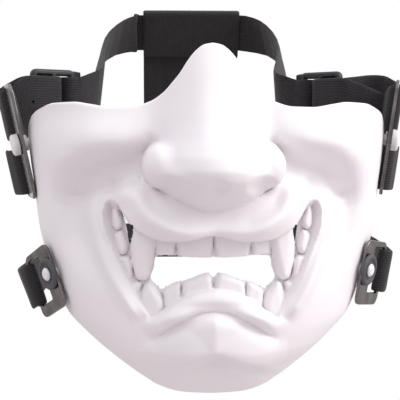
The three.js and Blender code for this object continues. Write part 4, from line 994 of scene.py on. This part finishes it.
back_band = webbing("back_band_webbing", [
    over(-15, 2.3, 1), over(11.5, 2.2, 2), over(13.9, 1.4, 2), over(13.9, -1.4, 2), over(11.5, -2.2, 1),
    over(-12, -2.2, 2), down(182, 40, 2), down(186, 20, 2), down(187, 0, 2), down(186, -18, 2),
    down(180.5, -36, 2), down(172.5, -47, 2), down(170.4, -54, 1), down(170.3, -71.3, 2),
    down(169.2, -73.9, 1), down(166.8, -73.9, 1), down(165.7, -71.3, 1), down(165.7, -48, 1),
], BAND_WIDE, STRAP_THICK)
finish_webbing(back_band, "back_band")

# ---------------------------------------------------------------------------------------
# Short tabs: a length of the same elastic, 22 mm wide, folded through the lower slot of each
# upper anchor, with both layers to the rear.
# ---------------------------------------------------------------------------------------
TAB_WIDE = 21.8
for name in ("upper_left", "upper_right"):
    axes = FRAMES[name]
    fold_rows = [(on(axes, b, -13.5, n), axes[2], parts) for b, n, parts in (
        (26, -2.4, 1), (20, -2.6, 1), (14, -2.6, 2), (11.2, -2.3, 2), (9.5, 0, 2), (11.2, 2.5, 2),
        (14, 3.6, 1), (20, 5.2, 2), (28, 4.4, 1))]
    tab = webbing("tab_" + name + "_webbing", fold_rows, TAB_WIDE, STRAP_THICK, step=0.7, soft=1.0)
    finish_webbing(tab, "tab_" + name)

# ---------------------------------------------------------------------------------------
# The studio: a wide pale floor, a sky that brightens upwards and is white behind the face,
# and one broad soft light at the right. The camera looks a little down at the face from
# half a metre away.
# ---------------------------------------------------------------------------------------
AZIMUTH, ELEVATION, AWAY = math.radians(-2.5), math.radians(3.8), 500.0
TARGET, FRAME_WIDE = Vector((-3.2, 0.0, -27.3)), 190.4
behind = Vector((math.sin(AZIMUTH) * math.cos(ELEVATION), -math.cos(AZIMUTH) * math.cos(ELEVATION),
                 math.sin(ELEVATION)))
lens = bpy.data.cameras.new("studio_camera")
lens.sensor_width = 36
lens.lens = lens.sensor_width * AWAY / FRAME_WIDE
lens.clip_start, lens.clip_end = 0.01, 100
camera = bpy.data.objects.new("studio_camera", lens)
bpy.context.scene.collection.objects.link(camera)
camera.location = (TARGET + behind * AWAY) / 1000
camera.rotation_euler = (-behind).to_track_quat("-Z", "Y").to_euler()
bpy.context.scene.camera = camera

FLOOR_RADIUS, FLOOR_Z = 850, -350
edge = circle(FLOOR_RADIUS, 64)
floor = make_object("studio_floor", [(x, y, FLOOR_Z) for x, y in edge], [tuple(range(64))])
# matt paint in a pale grey: it sends a soft even light back up, without gloss
painted, surface = new_material("matt_pale_grey_paint")
surface.inputs["Base Color"].default_value = linear("#c4bdbe")
surface.inputs["Roughness"].default_value = 0.9
floor.data.materials.append(painted)

SKY_LOW, SKY_HIGH = 0.32, 1.38
sky = bpy.data.worlds.new("studio_sky")
sky.use_nodes = True
facing = add_node(sky, "ShaderNodeTexCoord")
parts_of = add_node(sky, "ShaderNodeSeparateXYZ", inputs={0: facing.outputs["Generated"]})
height = add_node(sky, "ShaderNodeMapRange", inputs={
    "Value": parts_of.outputs[2], "From Min": -0.5, "From Max": 0.8, "To Min": SKY_LOW, "To Max": SKY_HIGH})
behind_face = add_node(sky, "ShaderNodeMapRange", {"interpolation_type": "SMOOTHSTEP"}, {
    "Value": parts_of.outputs[1], "From Min": 0.35, "From Max": 0.9})
brightness = add_node(sky, "ShaderNodeMix", inputs={0: behind_face.outputs[0], 2: height.outputs[0], 3: 1.0})
upper_share = add_node(sky, "ShaderNodeMapRange", inputs={
    "Value": parts_of.outputs[2], "From Min": -0.4, "From Max": 0.5})
warm_low = add_node(sky, "ShaderNodeMix", {"data_type": "RGBA"}, {
    0: upper_share.outputs[0], 6: linear("#fff1f2"), 7: linear("#fbfbff")})
pure = add_node(sky, "ShaderNodeMix", {"data_type": "RGBA"}, {
    0: behind_face.outputs[0], 6: warm_low.outputs[2], 7: linear("#ffffff")})
add_node(sky, "ShaderNodeBackground", inputs={"Color": pure.outputs[2], "Strength": brightness.outputs[0]})
sky.node_tree.links.new(sky.node_tree.nodes["Background.001"].outputs[0],
                        sky.node_tree.nodes["World Output"].inputs[0])
bpy.context.scene.world = sky

# the light hangs to the right of the face and above it, and points at the mouth
LIGHT_AT, MOUTH_AT = Vector((0.92, -0.28, 0.52)), Vector((0, -0.03, -0.03))
soft_box = bpy.data.lights.new("key_light", "AREA")
soft_box.size, soft_box.energy = 0.6, 7.4
lamp = bpy.data.objects.new("key_light", soft_box)
bpy.context.scene.collection.objects.link(lamp)
lamp.location = LIGHT_AT
lamp.rotation_euler = (MOUTH_AT - LIGHT_AT).to_track_quat("-Z", "Y").to_euler()
bpy.context.scene.view_settings.view_transform = "Standard"
